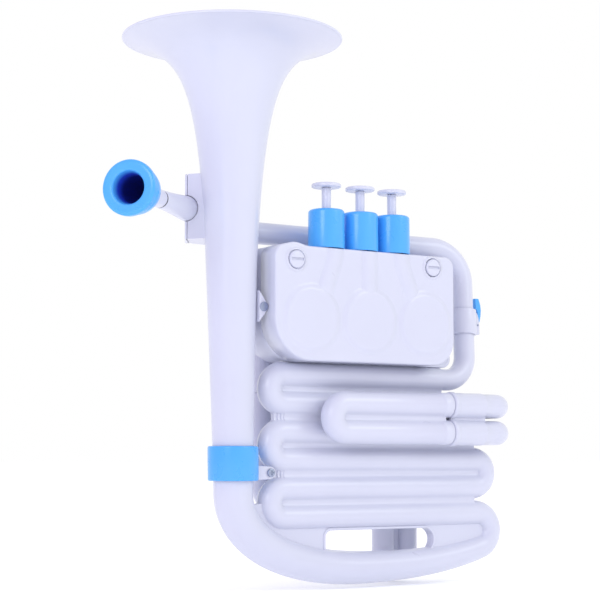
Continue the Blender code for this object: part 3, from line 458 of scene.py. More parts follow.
def lathe(name, profile, count=72, start=(0, 0, 0), axis=(0, 0, 1)):
    """A closed (radius, height) profile turned about an axis.

    An edge that lies on the axis is left out.
    """
    turn = Vector(axis).to_track_quat("Z", "Y").to_matrix().to_4x4()
    turn = Matrix.Translation(Vector(start)) @ turn
    size = len(profile)
    verts, faces = [], []
    for j in range(count):
        angle = math.tau * j / count
        across, aside = math.cos(angle), math.sin(angle)
        verts += [turn @ Vector((r * across, r * aside, h)) for r, h in profile]
    for j in range(count):
        here, there = j * size, (j + 1) % count * size
        for i in range(size):
            k = (i + 1) % size
            if profile[i][0] < ON_AXIS and profile[k][0] < ON_AXIS:
                continue
            faces.append((here + i, here + k, there + k, there + i))
    return mesh_object(name, verts, faces)


def turned(node, body, material, profile, rounding, count, start, axis=(0, 0, 1), steps=6, closed=False):
    """A lathed piece with softened edges, which stands for one node."""
    line = soften(profile, rounding, closed=closed, steps=steps)
    return finish(lathe(node + "_skin", line, count, start, axis), body, material, [node], SMOOTH)


def facing_front(u, v, depth):
    return Vector((u, depth, v))


def flat_solid(name, outline, low, high, place=facing_front):
    """An outline in a plane, extruded from low to high; place turns (u, v, depth) into a point."""
    rings = [[place(u, v, depth) for u, v in outline] for depth in (low, high)]
    return mesh_object(name, *skin(rings))


def box(x, z, half_width, half_height):
    """A rectangle's corners round a point, counter-clockwise."""
    left, right, low, high = x - half_width, x + half_width, z - half_height, z + half_height
    return [(left, low), (right, low), (right, high), (left, high)]


def inset_outline(outline, inset):
    """A counter-clockwise outline moved inwards along its own normals."""
    found = []
    for i, here in enumerate(outline):
        here = Vector(here)
        a = (here - Vector(outline[i - 1])).normalized()
        b = (Vector(outline[(i + 1) % len(outline)]) - here).normalized()
        normal = Vector((-(a.y + b.y), a.x + b.x)).normalized()
        found.append(here + normal * inset / max(SHARPEST, normal.dot(Vector((-a.y, a.x)))))
    return found


def rounded_slab(name, outline, low, high, edge, place=facing_front, steps=4):
    """An extruded outline whose two rims are rounded over."""
    stations = []
    for i in range(steps + 1):
        angle = math.pi / 2 * i / steps
        stations.append((edge * (1 - math.sin(angle)), low + edge * (1 - math.cos(angle))))
    stations += [(inset, high - (depth - low)) for inset, depth in stations[::-1]]
    rings = []
    for inset, depth in stations:
        rings.append([place(p[0], p[1], depth) for p in inset_outline(outline, inset)])
    return mesh_object(name, *skin(rings))


# ---- bell


def bell_radius(z):
    flare = BELL_RIM_R * (FLARE_OFFSET / (BELL_RIM_Z - z + FLARE_OFFSET)) ** FLARE_POWER
    cone = CONE_R + CONE_SLOPE * (z - BELL_LOW_Z)
    return 0.5 * (flare + cone + math.sqrt((flare - cone) ** 2 + 1.0))


def lean(z):
    """How far the bell's lower tube stands to the right of its axis at a height."""
    return LEAN_X * min(1.0, max(0.0, (LEAN_TOP_Z - z) / LEAN_TOP_Z))


def leaned(obj):
    for v in obj.data.vertices:
        v.co.x += lean(v.co.z / MM) * MM
    return obj


def make_bell():
    """A long cone and flare with a rounded rim, and the blue band round its foot."""
    heights = [BELL_LOW_Z + (FLARE_FROM_Z - BELL_LOW_Z) * i / CONE_STEPS for i in range(CONE_STEPS)]
    flare = BELL_RIM_Z - FLARE_FROM_Z - 0.5
    for i in range(FLARE_STEPS + 1):
        heights.append(BELL_RIM_Z - RIM_DROP - flare * (1 - i / FLARE_STEPS) ** 1.9)
    outer = [(bell_radius(z), z) for z in heights]
    inner = []
    for z in heights:
        slope = (bell_radius(z) - bell_radius(z - 0.2)) / 0.2
        slant = math.hypot(1.0, slope)
        inner.append((bell_radius(z) - BELL_WALL / slant, z + BELL_WALL * slope / slant))
    centre = (outer[-1][0] - 0.1, (outer[-1][1] + inner[-1][1]) / 2)
    bead = arc(centre[0], centre[1], RIM_BEAD_R, -118.0, 118.0, 16)
    inner[0] = (inner[0][0], BELL_LOW_Z)
    bell = lathe("bell_skin", outer[:-1] + bead + inner[:-1][::-1], 144)
    finish(leaned(bell), "horn", WHITE, ["bell"])
    low, high = BAND_Z
    bore = bell_radius(high) + GAP
    band = [(bore, low), (BAND_R, low), (BAND_R + BAND_CROWN, (low + high) / 2)]
    band += [(BAND_R, high), (bore, high)]
    profile = soften(band, [0.3, 1.3, 0, 1.3, 0.3], closed=True)
    finish(leaned(lathe("joint_band", profile, 96)), "horn", BLUE, ["bell_joint_band"])


# ---- serpentine body


def flat(x, z):
    return Vector((x, 0.0, z))


def bow_line():
    """The centre line from the bell's foot, round the bow and up the first four runs."""
    x, z, radius = LOW_BEND
    first_turn = arc(x, z, radius, -BOW_RISE, 90.0, 26)
    mid, end = flat(*BOW_MID), flat(*first_turn[0])
    lead = flat(math.sin(math.radians(BOW_RISE)), math.cos(math.radians(BOW_RISE)))
    points = [flat(0.0, BELL_LOW_Z - GAP), flat(0.0, -2.0), flat(0.0, -12.0)]
    points += bezier(points[-1], flat(0.0, -48.0), flat(47.0, BOW_MID[1] + 0.3), mid, 44)
    points += bezier(mid, flat(152.0, BOW_MID[1] - 0.5), end - lead * 36.0, end, 26)
    for p in points:
        p.x += LEAN_X * max(0.0, 1 - p.x / BOW_MID[0])
    bow_steps = len(points)
    points += [flat(*p) for p in first_turn[1:]]
    half = RUN_PITCH / 2
    bends = ((LEFT_BEND_X, 270, 90), (RIGHT_BEND_X, -90, 90), (LEFT_BEND_X, 270, 90))
    for run, (bend_x, start, stop) in enumerate(bends):
        points += [flat(*p) for p in arc(bend_x, RUN_Z[run] + half, half, start, stop, 26)]
    points.append(flat(TURN_X - GAP, RUN_Z[3]))
    radii = []
    for i, p in enumerate(points):
        if i >= bow_steps:
            radii.append(RUN_R)
        elif p.x <= BOW_MID[0]:
            share = max(0.0, p.x - LEAN_X) / (BOW_MID[0] - LEAN_X)
            radii.append(BOW_TOP_R + (BOW_MID_R - BOW_TOP_R) * share**0.6)
        else:
            share = (p.x - BOW_MID[0]) / (end.x - BOW_MID[0])
            radii.append(BOW_MID_R + (RUN_R - BOW_MID_R) * share)
    return points, radii, bow_steps


def upper_line():
    """The centre line of the two upper runs and the bend between them."""
    half = RUN_PITCH / 2
    turn = [flat(*p) for p in arc(LEFT_BEND_X, RUN_Z[4] + half, half, 270.0, 90.0, 26)]
    return [flat(TURN_X - GAP, RUN_Z[4]), *turn, flat(UPPER_RUN_END_X, RUN_Z[5])]


def half_tube(name, points, radii, side, steps=26):
    """One moulded half of a tube in the XZ plane, with a fine bead along the seam."""
    rings = []
    for i, p in enumerate(points):
        ahead = points[min(i + 1, len(points) - 1)] - points[max(i - 1, 0)]
        across = Vector((ahead.z, 0.0, -ahead.x)).normalized()
        ring = []
        for j in range(steps + 1):
            angle = math.pi * j / steps
            from_seam = min(angle, math.pi - angle) / SEAM_SPREAD
            r = radii[i] + SEAM_RISE * max(0.0, 1 - from_seam**2)
            depth = side * max(GAP / 4, r * math.sin(angle))
            ring.append(p + across * r * math.cos(angle) + Vector((0.0, depth, 0.0)))
        rings.append(ring)
    return mesh_object(name, *skin(rings))


def web_section(fill, flare, low, high, steps=8):
    """(half thickness, z) up a web, thicker at its edges so that the crease is soft."""
    shares = [i / steps for i in range(steps + 1)]
    return [(fill + flare * (2 * t - 1) ** 2, low + (high - low) * t) for t in shares]


def web(name, low, high, left, right, side, fill=WEB_FILL, flare=WEB_FLARE):
    """One half of a web between two runs."""
    profile = [(side * thick, z) for thick, z in web_section(fill, flare, low, high)]
    profile = [(side * GAP / 4, low), *profile, (side * GAP / 4, high)]
    return mesh_object(name, *between(profile, left, right))


def window_outline(grow):
    """The slot over the bow: half-round at the right, small corners at the left."""
    left, right = WINDOW_X[0] - WINDOW_R - grow, WINDOW_X[1]
    low, high = WINDOW_Z - WINDOW_R - grow, WINDOW_Z + WINDOW_R + grow
    top_corner, low_corner = 5.5, 7.0
    outline = arc(right, WINDOW_Z, WINDOW_R + grow, -90.0, 90.0, 20)
    outline += arc(left + top_corner, high - top_corner, top_corner, 90.0, 180.0, 8)
    outline += arc(left + low_corner, low + low_corner, low_corner, 180.0, 270.0, 10)
    return outline


def plate_edge(points, radii, bow_steps):
    """The lower plate's outline: right bend, lowest run, left bend, then along the bow."""
    bend_z = RUN_Z[0] + RUN_PITCH / 2
    right, right_z, right_r = LOW_BEND
    outline = arc(right, right_z, right_r - RUN_R + PLATE_INTO, -60.0, 90.0, 14)
    outline.append((PLATE_LEFT_X, RUN_Z[0] - RUN_R + PLATE_INTO))
    outline += arc(LEFT_BEND_X, bend_z, RUN_PITCH / 2 + RUN_R - 2.2, 265.0, 180.0, 12)
    for i in range(1, bow_steps):
        p, r = points[i], radii[i] - PLATE_INTO
        if p.x < PLATE_BEND_X:
            ahead = (points[i + 1] - points[i - 1]).normalized()
            q = (p.x - ahead.z * r, p.z + ahead.x * r)
            if q[1] < bend_z:
                outline.append(q)
        elif p.x < right - 2.0:
            slope = math.atan2(abs(p.z - BOW_MID[1]), PLATE_BEND_X)
            outline.append((p.x, p.z + r / math.cos(slope)))
    return outline


def lower_plate(name, points, radii, bow_steps, side):
    """The plate over the bow, with a slot that has a raised lip."""
    near, far = sorted((side * GAP / 4, side * WEB_HALF))
    plate = flat_solid(name, plate_edge(points, radii, bow_steps), near, far)
    slot = flat_solid(name + "_slot", window_outline(0.0), -20.0, 20.0)
    combined(plate, [slot], "DIFFERENCE")
    path = window_outline(0.9)
    section = [(-0.9, 2.6), (-0.9, 4.4), (1.1, 4.4), (1.1, 2.6)]
    section = soften(section, [0.1, 0.7, 0.7, 0.1], closed=True, steps=4)
    rings = []
    for i, p in enumerate(path):
        ahead = (Vector(path[(i + 1) % len(path)]) - Vector(path[i - 1])).normalized()
        rings.append([Vector((p[0] + ahead.y * q[0], side * q[1], p[1] - ahead.x * q[0])) for q in section])
    lip = mesh_object(name + "_lip", *skin(rings, closed_path=True))
    return combined(plate, [lip], "UNION")


def make_body():
    """Each half shell: the bow, the runs, the webs and the lower plate."""
    points, radii, bow_steps = bow_line()
    upper = upper_line()
    turn, bend = TURN_X - 1.0, RIGHT_BEND_X + 2.2
    right_ends = (turn, bend, turn, turn, UPPER_RUN_END_X)
    for node, side in (("body_front_shell", -1), ("body_rear_shell", 1)):
        body = half_tube(node + "_skin", points, radii, side)
        parts = [half_tube("upper_run", upper, [RUN_R] * len(upper), side)]
        for i, right in enumerate(right_ends):
            low, high = RUN_Z[i] + WEB_REACH, RUN_Z[i + 1] - WEB_REACH
            left = LEFT_BEND_X - (0.5 if i % 2 else 2.2)
            parts.append(web(f"web_{i}", low, high, left, right, side))
            for k, fill in enumerate(CREASE_FILLS if i % 2 else ()):
                left = LEFT_BEND_X - CREASE_STEP * (k + 1)
                parts.append(web(f"crease_{i}_{k}", low, high, left, LEFT_BEND_X, side, fill, 1.0))
        parts.append(lower_plate("plate", points, radii, bow_steps, side))
        combined(body, parts, "UNION")
        finish(body, "horn", WHITE, [node], 40.0)


# ---- round tubes


def make_upper_tube():
    line = soften(TUBE_LINE, [0.0, *TUBE_BENDS, 0.0], steps=28, most=0.8)
    finish(tube("upper_tube_skin", line, [TUBE_R] * len(line)), "horn", WHITE, ["upper_tube"])


def bulged(half_thick, flare, low, high):
    """The (y, z) section of a whole web in the slide's plane."""
    section = [(SLIDE_Y - thick, z) for thick, z in web_section(half_thick, flare, low, high)]
    return section + [(2 * SLIDE_Y - y, z) for y, z in section[::-1]]


def receiver_tube(name, z):
    """A run that turns forward at the right and comes back as the tube that takes the slide."""
    half = -SLIDE_Y / 2
    line = [Vector((TURN_X - 0.2, 0.0, z)), Vector((TURN_X, 0.0, z))]
    line += [Vector((x, y, z)) for x, y in arc(TURN_X + 2.5, -half, half, 90.0, -90.0, 30)]
    radii = [RUN_R] * len(line)
    stations = [(TURN_X - 8.0, RUN_R), (TURN_X - 8.5, RECEIVER_R - 0.1)]
    stations.append((TURN_X - 9.4, RECEIVER_R + 0.05))
    for ahead, proud in RECEIVER_LIP:
        stations.append((SHOULDER_X + ahead, RECEIVER_R + proud))
    line += [Vector((x, SLIDE_Y, z)) for x, _ in stations]
    return tube(name + "_skin", line, radii + [r for _, r in stations])


def make_tuning():
    """The two receivers with the web that joins them, and the slide that they take."""
    low, high = RUN_Z[3], RUN_Z[4]
    upper = receiver_tube("tuning_receiver_upper", high)
    receivers = receiver_tube("tuning_receiver_lower", low)
    section = bulged(2.6, 2.2, low + WEB_REACH, high - WEB_REACH)
    joint = mesh_object("receiver_web", *between(section, SHOULDER_X + 1.0, TURN_X - 6.0))
    combined(receivers, [upper, joint], "UNION")
    receivers.name = "tuning_receivers_skin"
    finish(receivers, "horn", WHITE, ["tuning_receiver_upper", "tuning_receiver_lower"], SMOOTH)
    turn = arc(SLIDE_BEND_X, low + RUN_PITCH / 2, RUN_PITCH / 2, 270.0, 90.0, 30)
    leg = [(SLIDE_END_X, SLIDE_INNER_R - 0.3), (SLIDE_END_X - 0.3, SLIDE_INNER_R)]
    leg.append((SHOULDER_X - 0.3, SLIDE_INNER_R))
    leg += [(SHOULDER_X - back, SLIDE_R + proud) for back, proud in SLIDE_FERRULE]
    path = [(x, low) for x, _ in leg] + turn + [(x, high) for x, _ in leg[::-1]]
    radii = [r for _, r in leg] + [SLIDE_R] * len(turn) + [r for _, r in leg[::-1]]
    slide = tube("tuning_slide_skin", [Vector((x, SLIDE_Y, z)) for x, z in path], radii)
    edge = WEB_REACH - 0.4
    section = bulged(3.8, 1.6, low + edge, high - edge)
    plate = mesh_object("slide_web", *between(section, SLIDE_BEND_X - 2.4, SHOULDER_X - 5.0))
    combined(slide, [plate], "UNION")
    finish(slide, "tuning_slide", WHITE, ["tuning_slide"], SMOOTH)


def make_back_slides():
    """Each valve's two receivers behind the block, and the slide that hangs in them."""
    for i, legs in enumerate(BACK_LEGS):
        number = i + 1
        for side, x in zip(("left", "right"), legs):
            corners = [Vector((x, BACK_Y + GAP, BACK_SOCKET_Z))]
            corners.append(Vector((x, BACK_SLIDE_Y, BACK_SOCKET_Z)))
            corners.append(Vector((x, BACK_SLIDE_Y, BACK_RECEIVER_LOW_Z)))
            line = soften(corners, [0.0, BACK_TURN, 0.0], steps=16)
            low = line.pop()
            radii = [BACK_RECEIVER_R] * len(line)
            for rise, proud in BACK_RECEIVER_LIP:
                line.append(low + Vector((0.0, 0.0, rise)))
                radii.append(BACK_RECEIVER_R + proud)
            node = f"valve_{number}_receiver_{side}"
            finish(tube(node + "_skin", line, radii, 48), "horn", WHITE, [node], SMOOTH)
        half = (legs[1] - legs[0]) / 2
        bend = arc(legs[0] + half, BACK_LOW_Z[i], half, 180.0, 360.0, 30)
        shoulder = BACK_RECEIVER_LOW_Z - GAP
        leg = [(BACK_SLIDE_TOP_Z, BACK_INNER_R - 0.2), (BACK_SLIDE_TOP_Z - 0.3, BACK_INNER_R)]
        leg += [(shoulder, BACK_INNER_R), (shoulder - 0.1, BACK_SLIDE_R - 0.4)]
        leg.append((shoulder - 0.6, BACK_SLIDE_R))
        path = [(legs[0], z) for z, _ in leg] + bend + [(legs[1], z) for z, _ in leg[::-1]]
        radii = [r for _, r in leg] + [BACK_SLIDE_R] * len(bend) + [r for _, r in leg[::-1]]
        node = f"valve_{number}_slide"
        slide = tube(node + "_skin", [Vector((x, BACK_SLIDE_Y, z)) for x, z in path], radii, 48)
        near, far = legs[0] + 5.0, legs[1] - 5.0
        low = BACK_LOW_Z[i] - 6.0
        top = min(BACK_LOW_Z[i] + BRACE_RISE, BACK_RECEIVER_LOW_Z - 6.0)
        brace = soften([(near, low), (far, low), (far, top), (near, top)], 0.5, closed=True)
        front, back = BACK_SLIDE_Y - BRACE_HALF, BACK_SLIDE_Y + BRACE_HALF
        combined(slide, [flat_solid("brace", brace, front, back)], "UNION")
        finish(slide, node, WHITE, [node], SMOOTH)


# ---- valve block


def plate_outline(right, low_right):
    """The valve block's outline, with its own right side and lower right corner."""
    left, low, high = BLOCK_X[0], *BLOCK_Z
    big = ROTOR_X[0] - left
    outline = arc(left + big, low + big, big, 180.0, 270.0, 36)
    outline += arc(right - low_right, low + low_right, low_right, -90.0, 0.0, 16)
    outline += arc(right - TOP_CORNER, high - TOP_CORNER, TOP_CORNER, 0.0, 90.0, 10)
    outline += arc(left + TOP_CORNER, high - TOP_CORNER, TOP_CORNER, 90.0, 180.0, 10)
    return outline


def even(outline, spacing):
    """A closed outline walked again at an even spacing."""
    points = [Vector(p) for p in outline] + [Vector(outline[0])]
    lengths = [(b - a).length for a, b in zip(points, points[1:])]
    count = round(sum(lengths) / spacing)
    step = sum(lengths) / count
    found, at, i = [], 0.0, 0
    for k in range(count):
        want = k * step
        while at + lengths[i] < want:
            at += lengths[i]
            i += 1
        found.append(points[i].lerp(points[i + 1], (want - at) / max(lengths[i], 1e-9)))
    return found


def ease(value):
    value = min(1.0, max(0.0, value))
    return value * value * (3 - 2 * value)


def relief(x, z):
    """How far the cover's face stands proud of its flat, at a point."""
    rise = 0.0
    for stem, rotor in zip(STEM_X, ROTOR_X):
        d = math.hypot(x - rotor, z - ROTOR_Z)
        dome = DOME_STEP * ease((DOME_R + 1.8 - d) / 5.5)
        dome += DOME_CROWN * ease((DOME_R - 3.0 - d) / 24.0)
        middle = stem + (rotor - stem) * 0.4 * ease((166.0 - z) / 31.0)
        along = ease((z - 128.0) / 12.0)
        round_face = math.sqrt(max(0.0, CHANNEL_R**2 - (x - middle) ** 2))
        channel = along * max(0.0, round_face + FRONT_Y - VALVE_Y)
        rise = max(rise, dome, channel)
    for sx, sz in SCREWS:
        d = math.hypot(x - sx, z - sz)
        rise = max(rise, BOSS_RISE * ease((HEAD_R + 3.1 - d) / 1.6))
        rise -= (rise + RECESS_DEPTH) * ease((HEAD_R + 0.75 - d) / 0.5)
    return rise


def make_cover():
    """The cover: one relief inside a rounded outline, and a skirt back to the split."""
    outline = []
    for p in even(plate_outline(BLOCK_X[1], 20.0), 0.8):
        over_screw = ease(1 - abs(p.x - SCREWS[0][0]) / BUMP_REACH)
        top = p.y > ROTOR_Z + DOME_R
        outline.append(p + Vector((0.0, BUMP_RISE * over_screw if top else 0.0)))
    split = SPLIT_Y - GAP / 2
    rings = []
    inside = (BLOCK_WALL, FRONT_Y + BLOCK_WALL), (BLOCK_WALL, split)
    for inset, y in (*inside, (0.4, split)):
        rings.append([Vector((p.x, y, p.y)) for p in inset_outline(outline, inset)])
    rings.append([Vector((p.x, split - 0.4, p.y)) for p in outline])
    for i in range(EDGE_STEPS):
        angle = math.pi / 2 * i / EDGE_STEPS
        back = COVER_EDGE * (1 - math.sin(angle))
        ring = []
        for p in inset_outline(outline, COVER_EDGE * (1 - math.cos(angle))):
            ring.append(Vector((p.x, FRONT_Y + back - relief(p.x, p.y) * math.sin(angle), p.y)))
        rings.append(ring)
    start = inset_outline(outline, COVER_EDGE)
    for k in range(FACE_STEPS + 1):
        ring = []
        for p in start:
            q = Vector((round(min(max(p.x, SPINE_X[0]), SPINE_X[1])), SPINE_Z))
            at = p.lerp(q, k / FACE_STEPS)
            ring.append(Vector((at.x, FRONT_Y - relief(at.x, at.y), at.y)))
        rings.append(ring)
    verts, faces = skin(rings)
    cover = mesh_object("valve_cover_skin", verts, faces[:-1])
    finish(cover, "horn", WHITE, ["valve_cover"], SMOOTH)


def make_housing():
    """The block's rear half, open to the cover and closed to the right of it."""
    split, back = SPLIT_Y + GAP / 2, BACK_Y
    outline = even(plate_outline(HOUSING_RIGHT_X, 7.0), 1.0)
    stations = [(BLOCK_WALL, back - BLOCK_WALL), (BLOCK_WALL, split)]
    stations += [(0.7, split), (0.25, split + 0.2), (0.0, split + 0.8)]
    for i in range(EDGE_STEPS + 1):
        angle = math.pi / 2 * i / EDGE_STEPS
        inset = HOUSING_EDGE * (1 - math.cos(angle))
        stations.append((inset, back - HOUSING_EDGE * (1 - math.sin(angle))))
    rings = []
    for inset, y in stations:
        rings.append([Vector((p.x, y, p.y)) for p in inset_outline(outline, inset)])
    housing = mesh_object("valve_housing_skin", *skin(rings))
    ledge = [p for p in inset_outline(outline, 1.0) if p.x > LEDGE_X]
    ledge = flat_solid("ledge", ledge, split + 0.3, split + BLOCK_WALL)
    combined(housing, [ledge], "UNION")
    finish(housing, "horn", WHITE, ["valve_housing"], SMOOTH)


def make_screws():
    """Flat moulded heads with a driver slot."""
    for i, (x, z) in enumerate(SCREWS):
        front = FRONT_Y + RECESS_DEPTH - GAP
        outline = [(0, 0.0), (SHANK_R, 0.0), (SHANK_R, SHANK_LENGTH), (HEAD_R, SHANK_LENGTH)]
        outline += [(HEAD_R, 31.5), (5.0, 32.2), (0, 32.4)]
        profile = soften(outline, [0, 0.5, 0, 0.3, 0.9, 1.5, 0], steps=4)
        foot = (x, front + SHANK_LENGTH, z)
        head = lathe(f"cover_screw_{i + 1}_skin", profile, 48, foot, (0, -1, 0))
        slot = soften(box(x, z, HEAD_R - 1.0, 1.0), 0.6, closed=True)
        slot = flat_solid("slot", slot, front - 4.0, front - 2.1)
        combined(head, [slot], "DIFFERENCE")
        finish(head, "horn", WHITE, [f"cover_screw_{i + 1}"])


def make_keys():
    """A button and a stem for each valve, and the blue cap that the stem goes through."""
    for i, x in enumerate(STEM_X):
        number = i + 1
        at = (x, VALVE_Y, 0.0)
        key = f"valve_{number}_key"
        top = BUTTON_Z + BUTTON_THICK
        button = [(0, BUTTON_Z), (BUTTON_R, BUTTON_Z), (BUTTON_R, top), (BUTTON_R - 2.6, top)]
        button.append((0, top - 0.9))
        turned(f"valve_button_{number}", key, WHITE, button, [0, 0.9, 1.2, 2.0, 0], 72, at)
        seat, over = SPRING_SEAT_Z, SPRING_SEAT_Z + 1.6
        shaft = [(0, STEM_LOW_Z), (STEM_R, STEM_LOW_Z), (STEM_R, seat), (SPRING_SEAT_R, seat)]
        shaft += [(SPRING_SEAT_R, over), (STEM_R, over)]
        shaft += [(STEM_R, BUTTON_Z - GAP), (0, BUTTON_Z - GAP)]
        rounding = [0, 0.4, 0.2, 0.3, 0.3, 0.2, 0.3, 0]
        turned(f"valve_stem_{number}", key, WHITE, shaft, rounding, 48, at, steps=4)
        low, hole, under = BLOCK_Z[1] + GAP, STEM_R + 0.4, CAP_TOP_Z - 2.4
        cap = [(CAP_R - 2.0, low), (CAP_R, low), (CAP_R - 0.25, CAP_TOP_Z)]
        cap += [(hole, CAP_TOP_Z + 0.2), (hole, under), (CAP_R - 2.0, under)]
        rounding = [0.2, 0.5, 2.4, 0.7, 0.2, 0.8]
        turned(f"valve_cap_{number}", "horn", BLUE, cap, rounding, 84, at, steps=7, closed=True)


# ---- mouthpiece side


def make_junction():
    """The block behind the bell, cut to the bell's round, and the plate on its outer side."""
    low, high = JUNCTION_Z
    aside = Vector((MOUTH_AXIS.y, -MOUTH_AXIS.x, 0.0))

    def face(edge):
        return MOUTH_AXIS * FACE_OUT + aside * edge

    first = face(math.sqrt(JUNCTION_BELL_R**2 - FACE_OUT**2)).xy
    last = Vector((math.cos(math.radians(80.0)), math.sin(math.radians(80.0)))) * JUNCTION_BELL_R
    back = face(FACE_EDGE) + SIDE_RUN * JUNCTION_DEPTH
    seam = FACE_EDGE - FLANGE_THICK
    seam_back = back - aside * (FLANGE_THICK + SEAM_LEAN)
    corners = [first, last, Vector((JUNCTION_RIGHT_X, JUNCTION_FRONT_Y))]
    corners += [Vector((JUNCTION_RIGHT_X, back.y)), seam_back.xy, face(seam).xy]
    shift = aside * GAP
    plate = [(face(seam) + shift).xy, (seam_back + shift).xy, back.xy, face(FACE_EDGE).xy]

    def upright(u, v, depth):
        return Vector((u, v, depth))

    outline = soften(corners, [0.0, 0.0, 0.6, 2.5, 2.0, 0.4], closed=True)
    block = flat_solid("junction_block_skin", outline, low, high, upright)
    outline = soften(plate, [0.4, 0.4, 1.0, 1.2], closed=True)
    end = rounded_slab("junction_flange_skin", outline, low, high, 0.8, upright)
    heights = [low - 4.0 + 3.0 * i for i in range(19)]
    room = [(0, heights[0])] + [(bell_radius(z) - GAP, z) for z in heights] + [(0, heights[-1])]
    combined(block, [lathe("bell_room", room, 96)], "DIFFERENCE")
    recess_r = RECEIVER_BASE_R + 0.5
    recess = [(0, -8.3), (recess_r, -8.3), (recess_r, 30.0), (0, 30.0)]
    for piece, node, bevel in ((block, "junction_block", 0.7), (end, "junction_flange", 0.0)):
        combined(piece, [lathe("recess", recess, 64, SOCKET, MOUTH_AXIS)], "DIFFERENCE")
        finish(piece, "horn", WHITE, [node], bevel=bevel)


def make_mouth_side():
    """The receiver with a near-black ring of painted shade in its gap to the shank, the cup and the shank,
    all along one axis.
    """
    end, base = RECEIVER_LENGTH, RECEIVER_BASE_R
    steps = [(-8.0, base), (FACE_OUT - 2.0, base), (FACE_OUT, base - 0.1), (14.0, 8.9)]
    steps += [(18.0, 8.55), (24.0, 8.2), (33.0, 7.6), (42.0, 7.1), (50.0, 6.8)]
    steps += [(end - 1.2, 6.6), (end - 0.4, 6.45), (end, 6.0)]
    steps += [(end, 5.2), (42.0, 4.9), (11.0, 4.6), (-8.0, 4.6)]
    profile = [(r, d) for d, r in steps]
    receiver = lathe("mouthpiece_receiver_skin", profile, 72, SOCKET, MOUTH_AXIS)
    finish(receiver, "horn", WHITE, ["mouthpiece_receiver"], SMOOTH)
    # painted shade: a near-black ring stands in the gap between the receiver's end and the shank
    gap_shade_section = [(4.85, -1.2), (6.35, -1.2), (6.35, 0.55), (4.85, 0.55)]
    gap_shade_section = soften(gap_shade_section, 0.25, closed=True, steps=4)
    ring = lathe("receiver_gap_shade", gap_shade_section, 64, SOCKET + MOUTH_AXIS * (end + 0.15), MOUTH_AXIS)
    finish(ring, "horn", GAP_SHADE_BLACK, [], SMOOTH)
    outside = [(17.0, 0.0), (RIM_R, 0.6), (RIM_R, 5.2), (17.2, 8.0), (17.4, 13.0)]
    outside += [(15.8, 19.5), (11.8, 27.0), (8.6, 33.0), (7.4, CUP_LENGTH)]
    inside = [(3.2, CUP_LENGTH), (3.4, 30.0), (6.8, 22.0), (9.6, 12.0), (10.4, 5.0), (11.9, 0.0)]
    rounding = [1.0, 1.8, 2.6, 2.4, 9.0, 18.0, 18.0, 6.0, 0.3, 0.2, 5.0, 12.0, 12.0, 6.0, 1.6]
    line, body = outside + inside, "mouthpiece"
    cup = turned("mouthpiece_cup", body, BLUE, line, rounding, 96, CUP_RIM, -MOUTH_AXIS, 8, True)
    # the faces inside the bowl take the blue with painted shade
    cup.data.materials.append(BLUE_WITH_PAINTED_BOWL_SHADE)
    for face in cup.data.polygons:
        middle = face.center / MM - CUP_RIM
        depth = -middle.dot(MOUTH_AXIS)
        off = middle + MOUTH_AXIS * depth
        takes_bowl_shade = depth > 0.4 and off.length < 13.2 - 0.25 * max(0.0, depth - 12.0)
        if takes_bowl_shade and face.normal.dot(off) < 0:
            face.material_index = 1
    shoulder = REACH - RECEIVER_LENGTH - RECEIVER_GAP
    low = CUP_LENGTH + GAP
    shank = [(7.0, low), (7.0, 42.0), (6.5, shoulder), (4.75, shoulder)]
    shank += [(4.5, SHANK_END), (3.3, SHANK_END), (3.0, low)]
    rounding = [0.3, 4.0, 0.9, 0.3, 0.3, 0.2, 0.2]
    turned("mouthpiece_shank", body, WHITE, shank, rounding, 64, CUP_RIM, -MOUTH_AXIS, 5, True)


# ---- small outer fittings


def key_point(out, across, z):
    """A point beside the right-hand stretch of the upper tube, which leans a little."""
    share = (TUBE_LINE[1].z - z) / (TUBE_LINE[1].z - TUBE_LINE[2].z)
    centre = TUBE_LINE[1].lerp(TUBE_LINE[2], share)
    return Vector((centre.x + out, centre.y + across, z))


def make_key_collar():
    """A collar round the tube, with two cheeks that hold the water key's pin."""
    low, high = KEY_COLLAR_Z
    middle = key_point(0.0, 0.0, (low + high) / 2)
    bore, half = TUBE_R + GAP, (high - low) / 2
    outside = bore + KEY_COLLAR_WALL
    wall = [(bore, -half), (outside, -half), (outside, half), (bore, half)]
    profile = soften(wall, [0.2, 0.6, 0.6, 0.2], closed=True, steps=4)
    upward = (TUBE_LINE[1] - TUBE_LINE[2]).normalized()
    collar = lathe("water_key_collar_skin", profile, 72, middle, upward)
    out, pivot_z = KEY_PIVOT
    edge, inner = out + 1.8, bore + 0.4
    cheek = [(inner, low + 0.4), (edge, low + 0.4), (edge, pivot_z + 2.0)]
    cheek += [(edge - 0.6, pivot_z + 6.0), (edge - 1.8, high - 2.8), (inner, high - 0.8)]
    cheek = soften(cheek, [0.0, 1.0, 1.5, 2.0, 1.0, 0.5], closed=True)

    def beside(u, v, depth):
        return key_point(u, depth, v)

    sides = []
    for side in (-1, 1):
        near, far = sorted((side * (KEY_SLOT_HALF - 0.1), side * KEY_CHEEK_HALF))
        sides.append(rounded_slab("cheek", cheek, near, far, 0.5, beside))
    combined(collar, sides, "UNION")
    right, top = edge + 2.0, high + 2.0
    slot = [(0.5, KEY_SLOT_Z), (right, KEY_SLOT_Z), (right, top), (0.5, top)]
    cutter = flat_solid("key_slot", slot, -KEY_SLOT_HALF, KEY_SLOT_HALF, beside)
    combined(collar, [cutter], "DIFFERENCE")
    finish(collar, "horn", WHITE, ["water_key_collar"])


